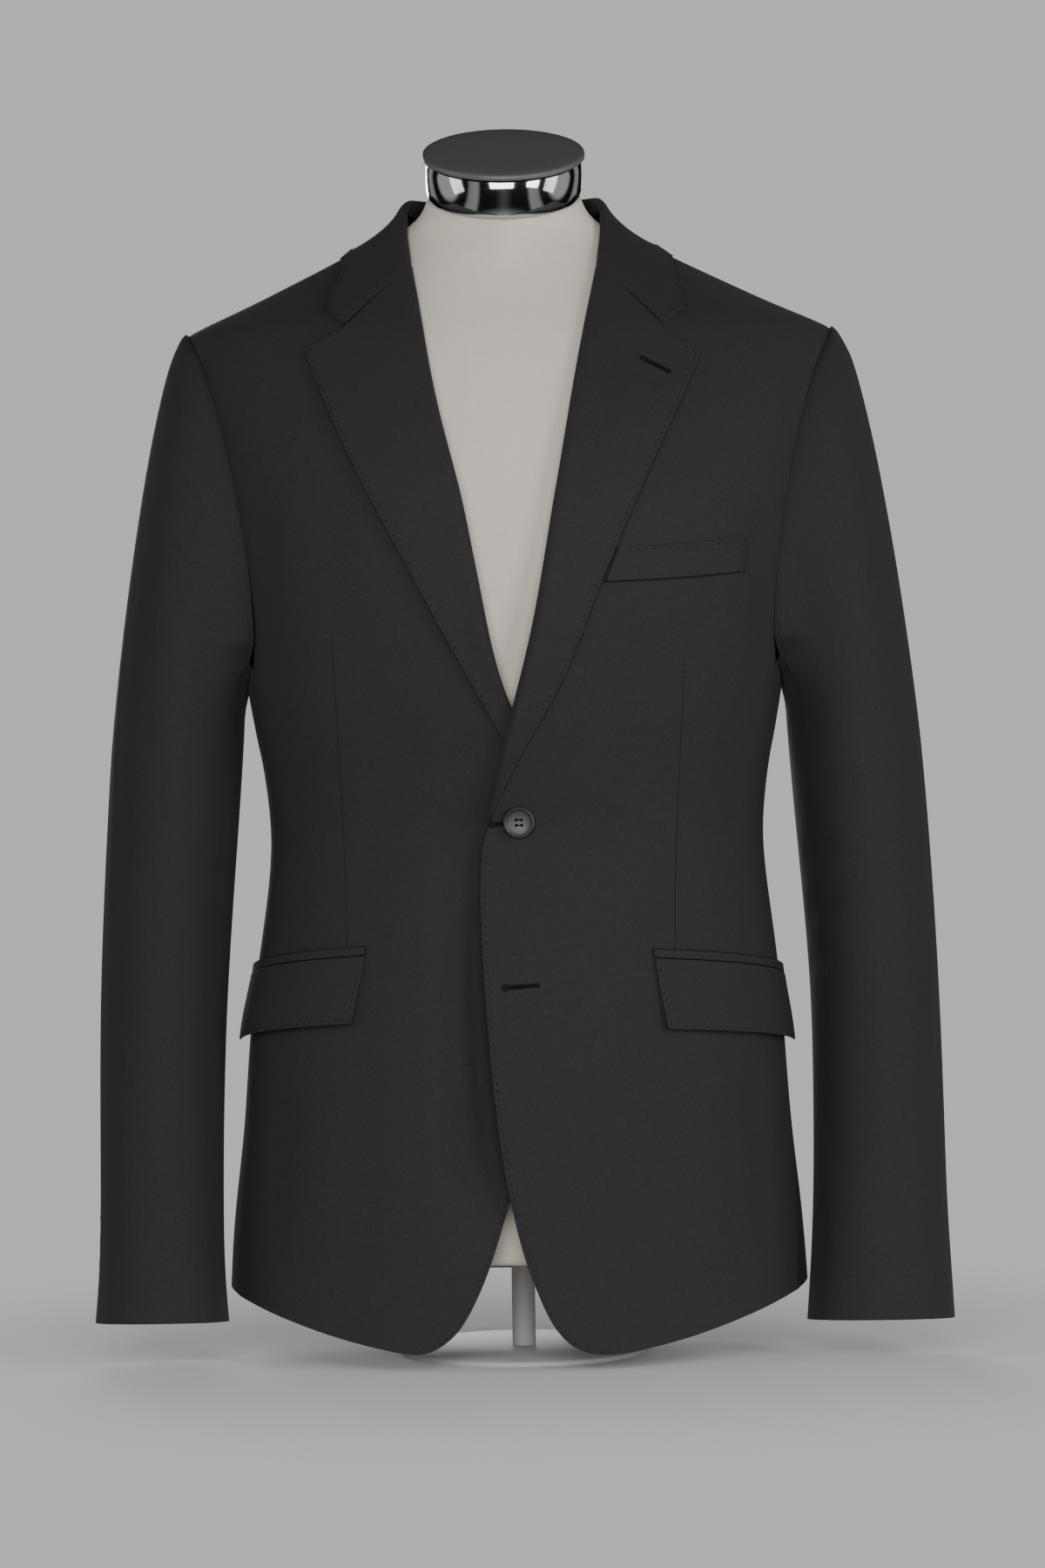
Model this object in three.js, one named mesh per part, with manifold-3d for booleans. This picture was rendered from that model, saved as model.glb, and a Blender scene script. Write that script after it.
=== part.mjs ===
import * as THREE from 'three';
import Module from 'manifold-3d';

// Sizes in millimetres. X runs to the wearer's left, the front faces -Y, the stand's foot is at z = 0.
const CLOTH = 1.6;
const SEAM = 0.2;
const LAPEL_CLOTH = 2.4;
const LAPEL_GAP = 1.2;
const ROLL_EDGE = 3.3;
const HEM_LOW = 10.5;
const SHOULDER_Z = 702;
const ARMHOLE_Z = 474;
const ARMHOLE_DIP = 17;
const SLEEVE_TOP_Z = 430;
const BUTTON = { radius: 10.75, height: 3.4, dish: 8.2, hole: 1.15, pitch: 3.6 };
const CUFF_BUTTON = { radius: 7.5, height: 2.8, dish: 5.6, hole: 0.9, pitch: 2.6 };
const NECK_TILT = 25;
const NECK_CENTRE = { x: -3, y: 0, z: 794.2 };
const RING = { radius: 54, height: 28 };
const CAP = { radius: 56.2, height: 5 };
const POLE = { radius: 8, top: 66.6 };
const FOOT = { radius: 85, height: 4 };

const rad = THREE.MathUtils.degToRad;
const lerp = THREE.MathUtils.lerp;

// Jacket: half width, front and back depth, squareness and sideways shift of the section at each height.
const jacketSections = [
  { z: 0, side: 202, front: 122, back: 116, power: 2.3, shift: -2 },
  { z: 36, side: 201, front: 122, back: 116, power: 2.3, shift: -2.5 },
  { z: 90, side: 197.8, front: 121, back: 116, power: 2.3, shift: -2.7 },
  { z: 160, side: 189.6, front: 119, back: 113, power: 2.3, shift: -2.2 },
  { z: 230, side: 184.6, front: 115, back: 104, power: 2.3, shift: -1.8 },
  { z: 290, side: 177.6, front: 109, back: 92, power: 2.3, shift: 0 },
  { z: 345, side: 170, front: 105, back: 86, power: 2.3, shift: 0 },
  { z: 400, side: 174.6, front: 110, back: 90, power: 2.35, shift: 0 },
  { z: 440, side: 182.4, front: 118, back: 96, power: 2.4, shift: 0 },
  { z: 474, side: 187.6, front: 123, back: 101, power: 2.4, shift: 0 },
  { z: 510, side: 190, front: 128, back: 107, power: 2.45, shift: 0 },
  { z: 560, side: 198, front: 127, back: 112, power: 2.45, shift: 0 },
  { z: 600, side: 206, front: 121, back: 112, power: 2.4, shift: 0 },
  { z: 640, side: 216, front: 108, back: 107, power: 2.3, shift: 0 },
  { z: 672, side: 221, front: 94, back: 101, power: 2.16, shift: 0 },
  { z: 690, side: 222.5, front: 85, back: 97, power: 2.06, shift: 0 },
  { z: 700, side: 222.5, front: 79.5, back: 94, power: 1.98, shift: -0.5 },
  { z: 703, side: 219.5, front: 77.5, back: 93, power: 1.96, shift: -0.8 },
  { z: 708, side: 208, front: 73.5, back: 91.2, power: 1.94, shift: -1.3 },
  { z: 720, side: 180, front: 64, back: 87, power: 1.94, shift: -2 },
  { z: 738, side: 142.8, front: 50, back: 81, power: 1.96, shift: -2.6 },
  { z: 756, side: 106, front: 34, back: 76, power: 2, shift: -3.3 },
  { z: 768, side: 86, front: 24, back: 71, power: 2, shift: -3.3 },
  { z: 785, side: 70, front: 16, back: 65, power: 2, shift: -3.3 },
  { z: 810, side: 68, front: 15, back: 63, power: 2, shift: -3.3 },
];

// The dress form under it, the same columns.
const formSections = [
  { z: 67, side: 180, front: 96, back: 92, power: 2.3, shift: 0 },
  { z: 160, side: 172, front: 98, back: 94, power: 2.3, shift: 0 },
  { z: 230, side: 166, front: 97, back: 88, power: 2.3, shift: 0 },
  { z: 290, side: 160, front: 94, back: 79, power: 2.3, shift: 0 },
  { z: 345, side: 156, front: 93, back: 74, power: 2.3, shift: 0 },
  { z: 400, side: 160, front: 97, back: 78, power: 2.35, shift: 0 },
  { z: 460, side: 168, front: 108, back: 86, power: 2.4, shift: 0 },
  { z: 510, side: 175, front: 116, back: 94, power: 2.4, shift: 0 },
  { z: 560, side: 186, front: 117, back: 101, power: 2.4, shift: 0 },
  { z: 600, side: 196, front: 112, back: 103, power: 2.35, shift: 0 },
  { z: 640, side: 208, front: 101, back: 100, power: 2.23, shift: 0 },
  { z: 672, side: 215.5, front: 89, back: 95, power: 2.08, shift: 0 },
  { z: 690, side: 217.5, front: 80, back: 91.5, power: 1.98, shift: 0 },
  { z: 698, side: 216.5, front: 75, back: 89.5, power: 1.9, shift: -0.4 },
  { z: 706, side: 204.4, front: 70, back: 86.5, power: 1.84, shift: -1.1 },
  { z: 720, side: 173.8, front: 60.5, back: 81, power: 1.7, shift: -2 },
  { z: 738, side: 137.2, front: 51.5, back: 74, power: 1.4, shift: -2.6 },
  { z: 756, side: 99, front: 49, back: 66, power: 1.15, shift: -3 },
  { z: 768, side: 76.4, front: 48, back: 60, power: 1.14, shift: -3 },
  { z: 780, side: 60, front: 47.5, back: 56, power: 1.5, shift: -3 },
  { z: 790, side: 54.4, front: 47, back: 53, power: 1.85, shift: -3 },
  { z: 800, side: 52, front: 46.5, back: 50, power: 2, shift: -3 },
  { z: 824, side: 52, front: 46.5, back: 46.5, power: 2, shift: -3 },
];

// Seams round the body, in degrees from the centre front; above the armhole they are its edges.
const frontSideSeam = [
  { z: 10, deg: 70 },
  { z: 130, deg: 72 },
  { z: 218, deg: 76 },
  { z: 345, deg: 76 },
  { z: 430, deg: 73 },
  { z: 474, deg: 69.5 },
  { z: 505, deg: 67 },
  { z: 540, deg: 65.5 },
  { z: 590, deg: 64.5 },
  { z: 640, deg: 65.5 },
  { z: 670, deg: 69.5 },
  { z: 690, deg: 77 },
  { z: SHOULDER_Z, deg: 90 },
];
const backSideSeam = [
  { z: 10, deg: 118 },
  { z: 200, deg: 118 },
  { z: 345, deg: 117 },
  { z: 430, deg: 114 },
  { z: 474, deg: 112 },
  { z: 505, deg: 112.5 },
  { z: 540, deg: 113.5 },
  { z: 590, deg: 114 },
  { z: 640, deg: 112 },
  { z: 670, deg: 108 },
  { z: 690, deg: 101 },
  { z: SHOULDER_Z, deg: 90 },
];

// Front edges from the hem to the lapel's start, as distance from the middle toward each wearer's side.
const leftFrontEdge = [
  { z: 10.5, x: 56 },
  { z: 14, x: 39 },
  { z: 20, x: 29.5 },
  { z: 28, x: 22 },
  { z: 40, x: 15 },
  { z: 56, x: 8.6 },
  { z: 76, x: 1.2 },
  { z: 102, x: -5.2 },
  { z: 140, x: -12.6 },
  { z: 194, x: -18.3 },
  { z: 263, x: -23.2 },
  { z: 327, x: -25.2 },
  { z: 361, x: -22.6 },
];
const rightFrontEdge = [
  { z: 10.5, x: -72 },
  { z: 14, x: -61 },
  { z: 20, x: -52 },
  { z: 28, x: -43 },
  { z: 40, x: -35.4 },
  { z: 56, x: -27.4 },
  { z: 76, x: -19.4 },
  { z: 102, x: -11.6 },
  { z: 140, x: 0 },
  { z: 194, x: 11.5 },
  { z: 263, x: 22 },
  { z: 327, x: 27 },
  { z: 361, x: 26 },
  { z: 380, x: 21.5 },
];

// Lapels: where each row starts on the roll line and ends on the outer edge.
const leftLapelRows = [
  { at: 0, rollX: -20.4, rollZ: 370, edgeX: -15.4, edgeZ: 372 },
  { at: 0.5, rollX: -16.8, rollZ: 385, edgeX: -8.5, edgeZ: 388 },
  { at: 1, rollX: -12, rollZ: 402, edgeX: -0.5, edgeZ: 404 },
  { at: 2, rollX: -8.6, rollZ: 419, edgeX: 8.5, edgeZ: 421 },
  { at: 3, rollX: -2.2, rollZ: 442, edgeX: 25, edgeZ: 448 },
  { at: 4, rollX: 4.5, rollZ: 467, edgeX: 37.5, edgeZ: 474 },
  { at: 5, rollX: 11.2, rollZ: 493, edgeX: 47.6, edgeZ: 500 },
  { at: 6, rollX: 17, rollZ: 521, edgeX: 58, edgeZ: 525 },
  { at: 7, rollX: 22.4, rollZ: 551, edgeX: 70, edgeZ: 552 },
  { at: 8, rollX: 27.5, rollZ: 580, edgeX: 81.6, edgeZ: 579 },
  { at: 9, rollX: 33, rollZ: 608.6, edgeX: 94.5, edgeZ: 606 },
  { at: 10, rollX: 39, rollZ: 643, edgeX: 108, edgeZ: 634 },
  { at: 11, rollX: 46, rollZ: 680.6, edgeX: 118, edgeZ: 656 },
  { at: 12, rollX: 52, rollZ: 711, edgeX: 124, edgeZ: 669 },
  { at: 13, rollX: 57.5, rollZ: 738, edgeX: 126.2, edgeZ: 675.8 },
];
const rightLapelRows = [
  { at: 0, rollX: 19.5, rollZ: 384, edgeX: 14, edgeZ: 385 },
  { at: 1, rollX: 15, rollZ: 402, edgeX: 3.5, edgeZ: 403 },
  { at: 2, rollX: 8.5, rollZ: 419, edgeX: -8.3, edgeZ: 420 },
  { at: 3, rollX: -3, rollZ: 442, edgeX: -21.5, edgeZ: 445 },
  { at: 4, rollX: -11.3, rollZ: 467, edgeX: -34.5, edgeZ: 469 },
  { at: 5, rollX: -17, rollZ: 493, edgeX: -48.5, edgeZ: 494 },
  { at: 6, rollX: -22, rollZ: 521, edgeX: -62, edgeZ: 521 },
  { at: 7, rollX: -27.7, rollZ: 551, edgeX: -77, edgeZ: 549 },
  { at: 8, rollX: -33, rollZ: 580, edgeX: -91, edgeZ: 576 },
  { at: 9, rollX: -40.2, rollZ: 608.6, edgeX: -105.5, edgeZ: 605 },
  { at: 10, rollX: -49, rollZ: 643, edgeX: -119.5, edgeZ: 636 },
  { at: 11, rollX: -55.8, rollZ: 682, edgeX: -130.5, edgeZ: 664 },
  { at: 12, rollX: -60.3, rollZ: 714, edgeX: -135.5, edgeZ: 677 },
  { at: 13, rollX: -64.6, rollZ: 740, edgeX: -137.1, edgeZ: 683.1 },
];

// Neck edge of the fronts above the lapels, as distance from the middle.
const neckEdge = [
  { z: 738, left: 60.8, right: 67.5 },
  { z: 750, left: 63.2, right: 70 },
  { z: 765, left: 66.2, right: 73 },
  { z: 778, left: 67.2, right: 73.8 },
  { z: 785.4, left: 66.7, right: 73.3 },
];

// Collar from the gorge (at 0) to the centre back (at 6): fold line, outer edge and stand height.
const collarBack = [
  { at: 3, deg: 90, foldZ: 785.4, edgeZ: 757, stand: 5 },
  { at: 4, deg: 121, foldZ: 782.2, edgeZ: 757, stand: 12 },
  { at: 5, deg: 151, foldZ: 780, edgeZ: 754, stand: 18 },
  { at: 6, deg: 180, foldZ: 779.6, edgeZ: 753, stand: 20 },
];
// Corner of the notch, as a step off the straight line from the fold to the collar's point.
const NOTCH = { left: { at: 0.806, x: -5.3, z: -17.4 }, right: { at: 0.806, x: -1.8, z: -17 } };
const leftCollarRows = [
  { at: 0, foldZ: 738.8, edgeX: 118.4, edgeZ: 709.4, stand: 0 },
  { at: 1, foldZ: 751, edgeX: 115.4, edgeZ: 723, stand: 0.5 },
  { at: 2, foldZ: 766, edgeX: 109.4, edgeZ: 740, stand: 1.5 },
  ...collarBack,
];
const rightCollarRows = [
  { at: 0, foldZ: 740.8, edgeX: 123.6, edgeZ: 711, stand: 0 },
  { at: 1, foldZ: 752, edgeX: 119, edgeZ: 725, stand: 0.5 },
  { at: 2, foldZ: 767, edgeX: 111, edgeZ: 742, stand: 1.5 },
  ...collarBack,
];

// How far the overlapping left front stands off the right one.
const overlapLift = [
  { z: 10, out: 2.2 },
  { z: 60, out: 3.6 },
  { z: 115, out: 5 },
  { z: 180, out: 6.2 },
  { z: 255, out: 6.6 },
  { z: 300, out: 5 },
  { z: 335, out: 3.4 },
  { z: 368, out: 3.6 },
  { z: 384, out: 6 },
  { z: 400, out: 6.9 },
  { z: 440, out: 6.9 },
  { z: 470, out: 4.8 },
  { z: 510, out: 1.6 },
  { z: 550, out: 0 },
];

// Rise of the hem from the front corners round to the back.
const hemRise = [
  { deg: 0, up: 0 },
  { deg: 14, up: 0.4 },
  { deg: 29, up: 9 },
  { deg: 39, up: 16.5 },
  { deg: 51, up: 25 },
  { deg: 69, up: 35 },
  { deg: 90, up: 39 },
  { deg: 135, up: 36 },
  { deg: 180, up: 34 },
];

// Sleeves below the armhole: outer and inner sides of each, depth and centre of each section.
const sleeveSections = [
  { z: 20, outerLeft: 293.2, innerLeft: 191, outerRight: 291.6, innerRight: 198, half: 46, middle: -47 },
  { z: 60, outerLeft: 291.6, innerLeft: 194.6, outerRight: 288.4, innerRight: 201.6, half: 48, middle: -40 },
  { z: 108, outerLeft: 290, innerLeft: 197.8, outerRight: 287.6, innerRight: 202.6, half: 50, middle: -31 },
  { z: 180, outerLeft: 289.8, innerLeft: 199.6, outerRight: 288.2, innerRight: 202, half: 54, middle: -18 },
  { z: 252, outerLeft: 288.6, innerLeft: 199.4, outerRight: 287.8, innerRight: 199.4, half: 57, middle: -8 },
  { z: 324, outerLeft: 285.8, innerLeft: 194.2, outerRight: 284.8, innerRight: 194.2, half: 61, middle: -1 },
  { z: 396, outerLeft: 281.3, innerLeft: 188.4, outerRight: 280.5, innerRight: 188.4, half: 65, middle: 2 },
  { z: 430, outerLeft: 278.6, innerLeft: 186, outerRight: 278.2, innerRight: 186, half: 67, middle: 2 },
  { z: 460, outerLeft: 276, innerLeft: 186, outerRight: 276, innerRight: 186, half: 69, middle: 2 },
];
const armholeTurn = [
  { psi: 0, z: SHOULDER_Z },
  { psi: 20, z: 691 },
  { psi: 42, z: 666 },
  { psi: 64, z: 627 },
  { psi: 90, z: 578 },
  { psi: 112, z: 532 },
  { psi: 138, z: ARMHOLE_Z },
];
const sleeves = {
  left: { sign: 1, outer: 'outerLeft', inner: 'innerLeft', cuff: 24, hindTurn: -61, buttonTurn: 317 },
  right: { sign: -1, outer: 'outerRight', inner: 'innerRight', cuff: 28, hindTurn: -45, buttonTurn: 334 },
};

// Value of one column of a table at a place between its rows, on a smooth curve.
function along(table, key, at, by = 'z') {
  const last = table.length - 1;
  if (at <= table[0][by]) return table[0][key];
  if (at >= table[last][by]) return table[last][key];
  let i = 0;
  while (table[i + 1][by] < at) i += 1;
  const slope = (k) => {
    const before = table[Math.max(k - 1, 0)];
    const after = table[Math.min(k + 1, last)];
    return (after[key] - before[key]) / (after[by] - before[by]);
  };
  const step = table[i + 1][by] - table[i][by];
  const t = (at - table[i][by]) / step;
  const start = table[i][key];
  const end = table[i + 1][key];
  const out = slope(i) * step;
  const into = slope(i + 1) * step;
  const t2 = t * t;
  const t3 = t2 * t;
  return (2 * t3 - 3 * t2 + 1) * start + (t3 - 2 * t2 + t) * out + (3 * t2 - 2 * t3) * end + (t3 - t2) * into;
}

function sectionPoint(sections, phi, z) {
  const side = along(sections, 'side', z);
  const front = along(sections, 'front', z);
  const back = along(sections, 'back', z);
  const bend = 2 / along(sections, 'power', z);
  const s = Math.sin(phi);
  const c = Math.cos(phi);
  const depth = c > 0 ? front : back;
  const x = along(sections, 'shift', z) + side * Math.sign(s) * Math.abs(s) ** bend;
  const y = -depth * Math.sign(c) * Math.abs(c) ** bend;
  return new THREE.Vector3(x, y, z);
}

function bodyNormal(phi, z) {
  const around = sectionPoint(jacketSections, phi + 0.01, z).sub(sectionPoint(jacketSections, phi - 0.01, z));
  const up = sectionPoint(jacketSections, phi, z + 1).sub(sectionPoint(jacketSections, phi, z - 1));
  return around.cross(up).normalize();
}

function bodyPoint(phi, z, out = 0) {
  return sectionPoint(jacketSections, phi, z).addScaledVector(bodyNormal(phi, z), out);
}

// Angle round the body of a point on the front, from its distance to the middle.
function angleAt(x, z) {
  const off = x - along(jacketSections, 'shift', z);
  const share = Math.min(Math.abs(off) / along(jacketSections, 'side', z), 1);
  return Math.sign(off) * Math.asin(share ** (along(jacketSections, 'power', z) / 2));
}

// Angle moved round the body by a few tenths of a millimetre.
function moved(phi, z, millimetres) {
  const ahead = sectionPoint(jacketSections, phi + 0.01, z);
  const step = ahead.distanceTo(sectionPoint(jacketSections, phi - 0.01, z));
  return phi + millimetres / (step / 0.02);
}

// Closed wall from two grids of points, rows by columns, joined round the rim.
function wall(rows, columns, place) {
  const positions = [];
  for (const face of [1, 0]) {
    for (let j = 0; j <= rows; j += 1) {
      for (let i = 0; i <= columns; i += 1) positions.push(...place(i, j, face).toArray());
    }
  }
  const inside = (rows + 1) * (columns + 1);
  const at = (i, j) => j * (columns + 1) + i;
  const index = [];
  for (let j = 0; j < rows; j += 1) {
    for (let i = 0; i < columns; i += 1) {
      const corners = [at(i, j), at(i + 1, j), at(i + 1, j + 1), at(i, j + 1)];
      index.push(corners[0], corners[1], corners[2], corners[0], corners[2], corners[3]);
      const inner = corners.map((k) => k + inside);
      index.push(inner[0], inner[2], inner[1], inner[0], inner[3], inner[2]);
    }
  }
  const rim = [];
  for (let i = 0; i < columns; i += 1) rim.push([at(i + 1, 0), at(i, 0)]);
  for (let j = 0; j < rows; j += 1) rim.push([at(0, j), at(0, j + 1)]);
  for (let i = 0; i < columns; i += 1) rim.push([at(i, rows), at(i + 1, rows)]);
  for (let j = 0; j < rows; j += 1) rim.push([at(columns, j + 1), at(columns, j)]);
  for (const [a, b] of rim) index.push(a, b, b + inside, a, b + inside, a + inside);
  return closedBody(positions, index);
}

// Geometry facing outward: its volume is worked out and the triangles turned if it is negative.
function closedBody(positions, index) {
  let volume = 0;
  const corner = (k) => new THREE.Vector3().fromArray(positions, k * 3);
  for (let k = 0; k < index.length; k += 3) {
    volume += corner(index[k]).dot(corner(index[k + 1]).cross(corner(index[k + 2])));
  }
  const faces = volume > 0 ? index : index.map((_, k) => index[k - (k % 3) + 2 - (k % 3)]);
  const geometry = new THREE.BufferGeometry();
  geometry.setAttribute('position', new THREE.Float32BufferAttribute(positions, 3));
  geometry.setIndex(faces);
  geometry.computeVertexNormals();
  return geometry;
}

// Solid from a stack of closed rings, capped at both ends.
function stack(rows, columns, place) {
  const positions = [];
  for (let j = 0; j <= rows; j += 1) {
    for (let i = 0; i < columns; i += 1) positions.push(...place(i, j).toArray());
  }
  const index = [];
  const at = (i, j) => j * columns + (i % columns);
  for (let j = 0; j < rows; j += 1) {
    for (let i = 0; i < columns; i += 1) {
      index.push(at(i, j), at(i + 1, j), at(i + 1, j + 1), at(i, j), at(i + 1, j + 1), at(i, j + 1));
    }
  }
  for (const j of [0, rows]) {
    const middle = new THREE.Vector3();
    for (let i = 0; i < columns; i += 1) middle.add(place(i, j));
    middle.divideScalar(columns);
    const centre = positions.length / 3;
    positions.push(...middle.toArray());
    for (let i = 0; i < columns; i += 1) {
      if (j === 0) index.push(centre, at(i + 1, j), at(i, j));
      else index.push(centre, at(i, j), at(i + 1, j));
    }
  }
  return closedBody(positions, index);
}

// Height of the hem's rise at one place, fading out up the skirt.
function hemmed(phi, z) {
  const fade = THREE.MathUtils.clamp(1 - (z - HEM_LOW) / 210, 0, 1);
  return z + along(hemRise, 'up', Math.abs(phi) * 180 / Math.PI, 'deg') * fade;
}

function underarm(deg) {
  return ARMHOLE_DIP * Math.max(1 - ((deg - 92) / 20) ** 2, 0);
}

// Standing out of the left front over the right one, gone a hand's width from its edge.
function lapped(x, z) {
  const fade = THREE.MathUtils.smoothstep(x, 26, 92);
  return along(overlapLift, 'out', z) * (1 - fade);
}

const frontHeight = {
  left: (x, z) => lapped(x, z),
  right: () => 0,
};
const frontRows = [
  10.5, 14, 20, 28, 40, 56, 76, 102, 140, 185, 230, 275, 318, 352, 366, 380, 400, 419, 442, ARMHOLE_Z, 505,
  540, 575, 608, 640, 664, 682, 693, SHOULDER_Z, 710, 720, 738, 752, 766, 776, 784.2,
];
const sideRows = [10.5, 40, 76, 102, 140, 185, 230, 275, 318, 352, 380, 400, 419, 442, ARMHOLE_Z];
const backRows = [
  ...sideRows, 505, 540, 575, 608, 640, 664, 682, 693, SHOULDER_Z, 710, 720, 738, 756, 770, 784.2,
];

function frontPanel(side) {
  const sign = side === 'left' ? 1 : -1;
  const edge = side === 'left' ? leftFrontEdge : rightFrontEdge;
  const roll = (side === 'left' ? leftLapelRows : rightLapelRows);
  const columns = 8;
  const startX = (z) => {
    if (z >= 738) return sign * along(neckEdge, side, z);
    if (z >= roll[0].rollZ - 5) return along(roll, 'rollX', z, 'rollZ') + sign * ROLL_EDGE;
    return along(edge, 'x', z);
  };
  return wall(frontRows.length - 1, columns, (i, j, face) => {
    const z = frontRows[j];
    const start = angleAt(startX(z), z);
    const end = sign * moved(rad(along(frontSideSeam, 'deg', z)), z, -SEAM);
    const phi = lerp(start, end, (i / columns) ** 1.2);
    const height = hemmed(phi, z);
    const x = sectionPoint(jacketSections, phi, height).x;
    const out = frontHeight[side](x, height);
    return bodyPoint(phi, height, face ? out : out - CLOTH);
  });
}

function sidePanel(sign) {
  const columns = 3;
  return wall(sideRows.length - 1, columns, (i, j, face) => {
    const z = sideRows[j];
    const start = moved(rad(along(frontSideSeam, 'deg', z)), z, SEAM);
    const end = moved(rad(along(backSideSeam, 'deg', z)), z, -SEAM);
    const phi = lerp(start, end, i / columns);
    const dip = underarm(phi * 180 / Math.PI) * THREE.MathUtils.clamp((z - 354) / 120, 0, 1);
    return bodyPoint(sign * phi, hemmed(phi, z) - dip, face ? 0 : -CLOTH);
  });
}

function backPanel(sign) {
  const columns = 6;
  return wall(backRows.length - 1, columns, (i, j, face) => {
    const z = backRows[j];
    const start = moved(rad(along(backSideSeam, 'deg', z)), z, SEAM);
    const end = moved(Math.PI, z, -SEAM);
    const phi = lerp(start, end, i / columns);
    const dip = 5.5 * THREE.MathUtils.clamp((z - 738) / 46, 0, 1) * Math.min((phi - Math.PI / 2) / 1.1, 1);
    return bodyPoint(sign * phi, hemmed(phi, z) - dip, face ? 0 : -CLOTH);
  });
}

// Cloth turned back on itself over an edge: a stand up to the fold, then a leaf down over the panel.
function turned(columns, count, fold) {
  const hook = [
    { outT: 0.85, outH: -CLOTH, inT: 0.85, inH: 0 },
    { outT: 2.1, outH: -CLOTH + 0.1, inT: 1.4, inH: 0.1 },
    { outT: 3.5, outH: 0.4, inT: 1.9, inH: 0.6 },
    { outT: 2.9, outH: 3.2, inT: 1.5, inH: 1.3 },
  ];
  return wall(count, hook.length + columns, (i, j, face) => {
    const row = fold(j / count);
    const base = row.surface(0);
    if (i < hook.length) {
      const away = row.surface(0).sub(row.surface(0.08)).normalize();
      const stand = i === 0 ? 0 : row.stand;
      const along3 = (face ? hook[i].outT : hook[i].inT) + stand;
      const height = (face ? hook[i].outH : hook[i].inH) + row.lift(0);
      return base.addScaledVector(away, along3).addScaledVector(row.normal(0), height);
    }
    const share = (i - hook.length + 0.15) / (columns + 0.15);
    const out = LAPEL_CLOTH + LAPEL_GAP + row.belly * (1 - share) ** 2 + row.lift(share);
    return row.surface(share).addScaledVector(row.normal(share), face ? out : out - LAPEL_CLOTH);
  });
}

function lapel(side) {
  const rows = side === 'left' ? leftLapelRows : rightLapelRows;
  const sign = side === 'left' ? 1 : -1;
  const sag = side === 'left' ? 3.3 : 7.4;
  const fuller = (z) => (side === 'left' ? 1 : THREE.MathUtils.smoothstep(z, 440, 510));
  const count = 15;
  return turned(5, count, (share) => {
    const at = share * 13;
    const upper = Math.max(at - 11, 0) / 2;
    const value = (key) => along(rows, key, at, 'at');
    const start = { x: along(rows, 'rollX', value('rollZ'), 'rollZ') + sign * ROLL_EDGE, z: value('rollZ') };
    const end = { x: value('edgeX'), z: value('edgeZ') };
    if (sign * (end.x - start.x) < 2) end.x = start.x + sign * 2;
    const place = (s) => {
      const x = lerp(start.x, end.x, s);
      const z = lerp(start.z, end.z, s) - sag * upper * Math.min(s / 0.612, (1 - s) / 0.388);
      return { x, z, phi: angleAt(x, z) };
    };
    return {
      surface: (s) => bodyPoint(place(s).phi, place(s).z),
      normal: (s) => bodyNormal(place(s).phi, place(s).z),
      lift: (s) => frontHeight[side](place(s).x, place(s).z),
      stand: 0,
      belly: lerp(4.2, 1.4, share) * fuller(start.z),
    };
  });
}

// The collar's leaf ends in a short edge from the notch's corner to the collar's point.
function collar() {
  const count = 20;
  return turned(5, count, (share) => {
    const side = share <= 0.5 ? 'left' : 'right';
    const sign = side === 'left' ? 1 : -1;
    const at = (side === 'left' ? share : 1 - share) * 12;
    const rows = side === 'left' ? leftCollarRows : rightCollarRows;
    const value = (key) => along(rows, key, at, 'at');
    const notch = NOTCH[side];
    const frontAngle = (s, row) => {
      const step = Math.max(1 - row, 0) * Math.min(s / notch.at, (1 - s) / (1 - notch.at));
      const foldZ = along(rows, 'foldZ', row, 'at');
      const edgeX = along(rows.slice(0, 3), 'edgeX', row, 'at');
      const x = lerp(along(neckEdge, side, foldZ), edgeX, s) + notch.x * step;
      const z = lerp(foldZ, along(rows, 'edgeZ', row, 'at'), s) + notch.z * step;
      return Math.abs(angleAt(sign * x, z));
    };
    const place = (s) => {
      const step = Math.max(1 - at, 0) * Math.min(s / notch.at, (1 - s) / (1 - notch.at));
      const z = lerp(value('foldZ'), value('edgeZ'), s) + notch.z * step;
      if (at >= 3) return { phi: sign * rad(along(collarBack, 'deg', at, 'at')), z };
      const turn = (share) => lerp(frontAngle(share, Math.min(at, 2)), Math.PI / 2, Math.max(at - 2, 0));
      const fold = Math.abs(angleAt(sign * along(neckEdge, side, value('foldZ')), value('foldZ')));
      return { phi: sign * (turn(s) + (fold - turn(0)) * (1 - s)), z };
    };
    return {
      surface: (s) => bodyPoint(place(s).phi, place(s).z),
      normal: (s) => bodyNormal(place(s).phi, place(s).z),
      lift: () => 0,
      stand: value('stand'),
      belly: lerp(1.4, 1, Math.min(at / 3, 1)),
    };
  });
}

// Where the armhole's edge runs, turned by psi from the shoulder point over the front.
function armhole(psi) {
  const turn = psi > 180 ? 360 - psi : psi;
  const back = psi > 180;
  if (turn > 138) {
    const across = (turn - 138) / 42;
    const deg = back ? lerp(112, 92, across) : lerp(69.5, 92, across);
    return { phi: rad(deg), z: ARMHOLE_Z - underarm(deg) };
  }
  const z = along(armholeTurn, 'z', turn, 'psi');
  return { phi: rad(along(back ? backSideSeam : frontSideSeam, 'deg', z)), z };
}

function sleeveLower(psi, z, sleeve) {
  const outer = along(sleeveSections, sleeve.outer, z);
  const inner = along(sleeveSections, sleeve.inner, z);
  const turn = rad(psi);
  const x = (outer + inner) / 2 + (outer - inner) / 2 * Math.cos(turn);
  const y = along(sleeveSections, 'middle', z) - along(sleeveSections, 'half', z) * Math.sin(turn);
  return new THREE.Vector3(x, y, z);
}

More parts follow.
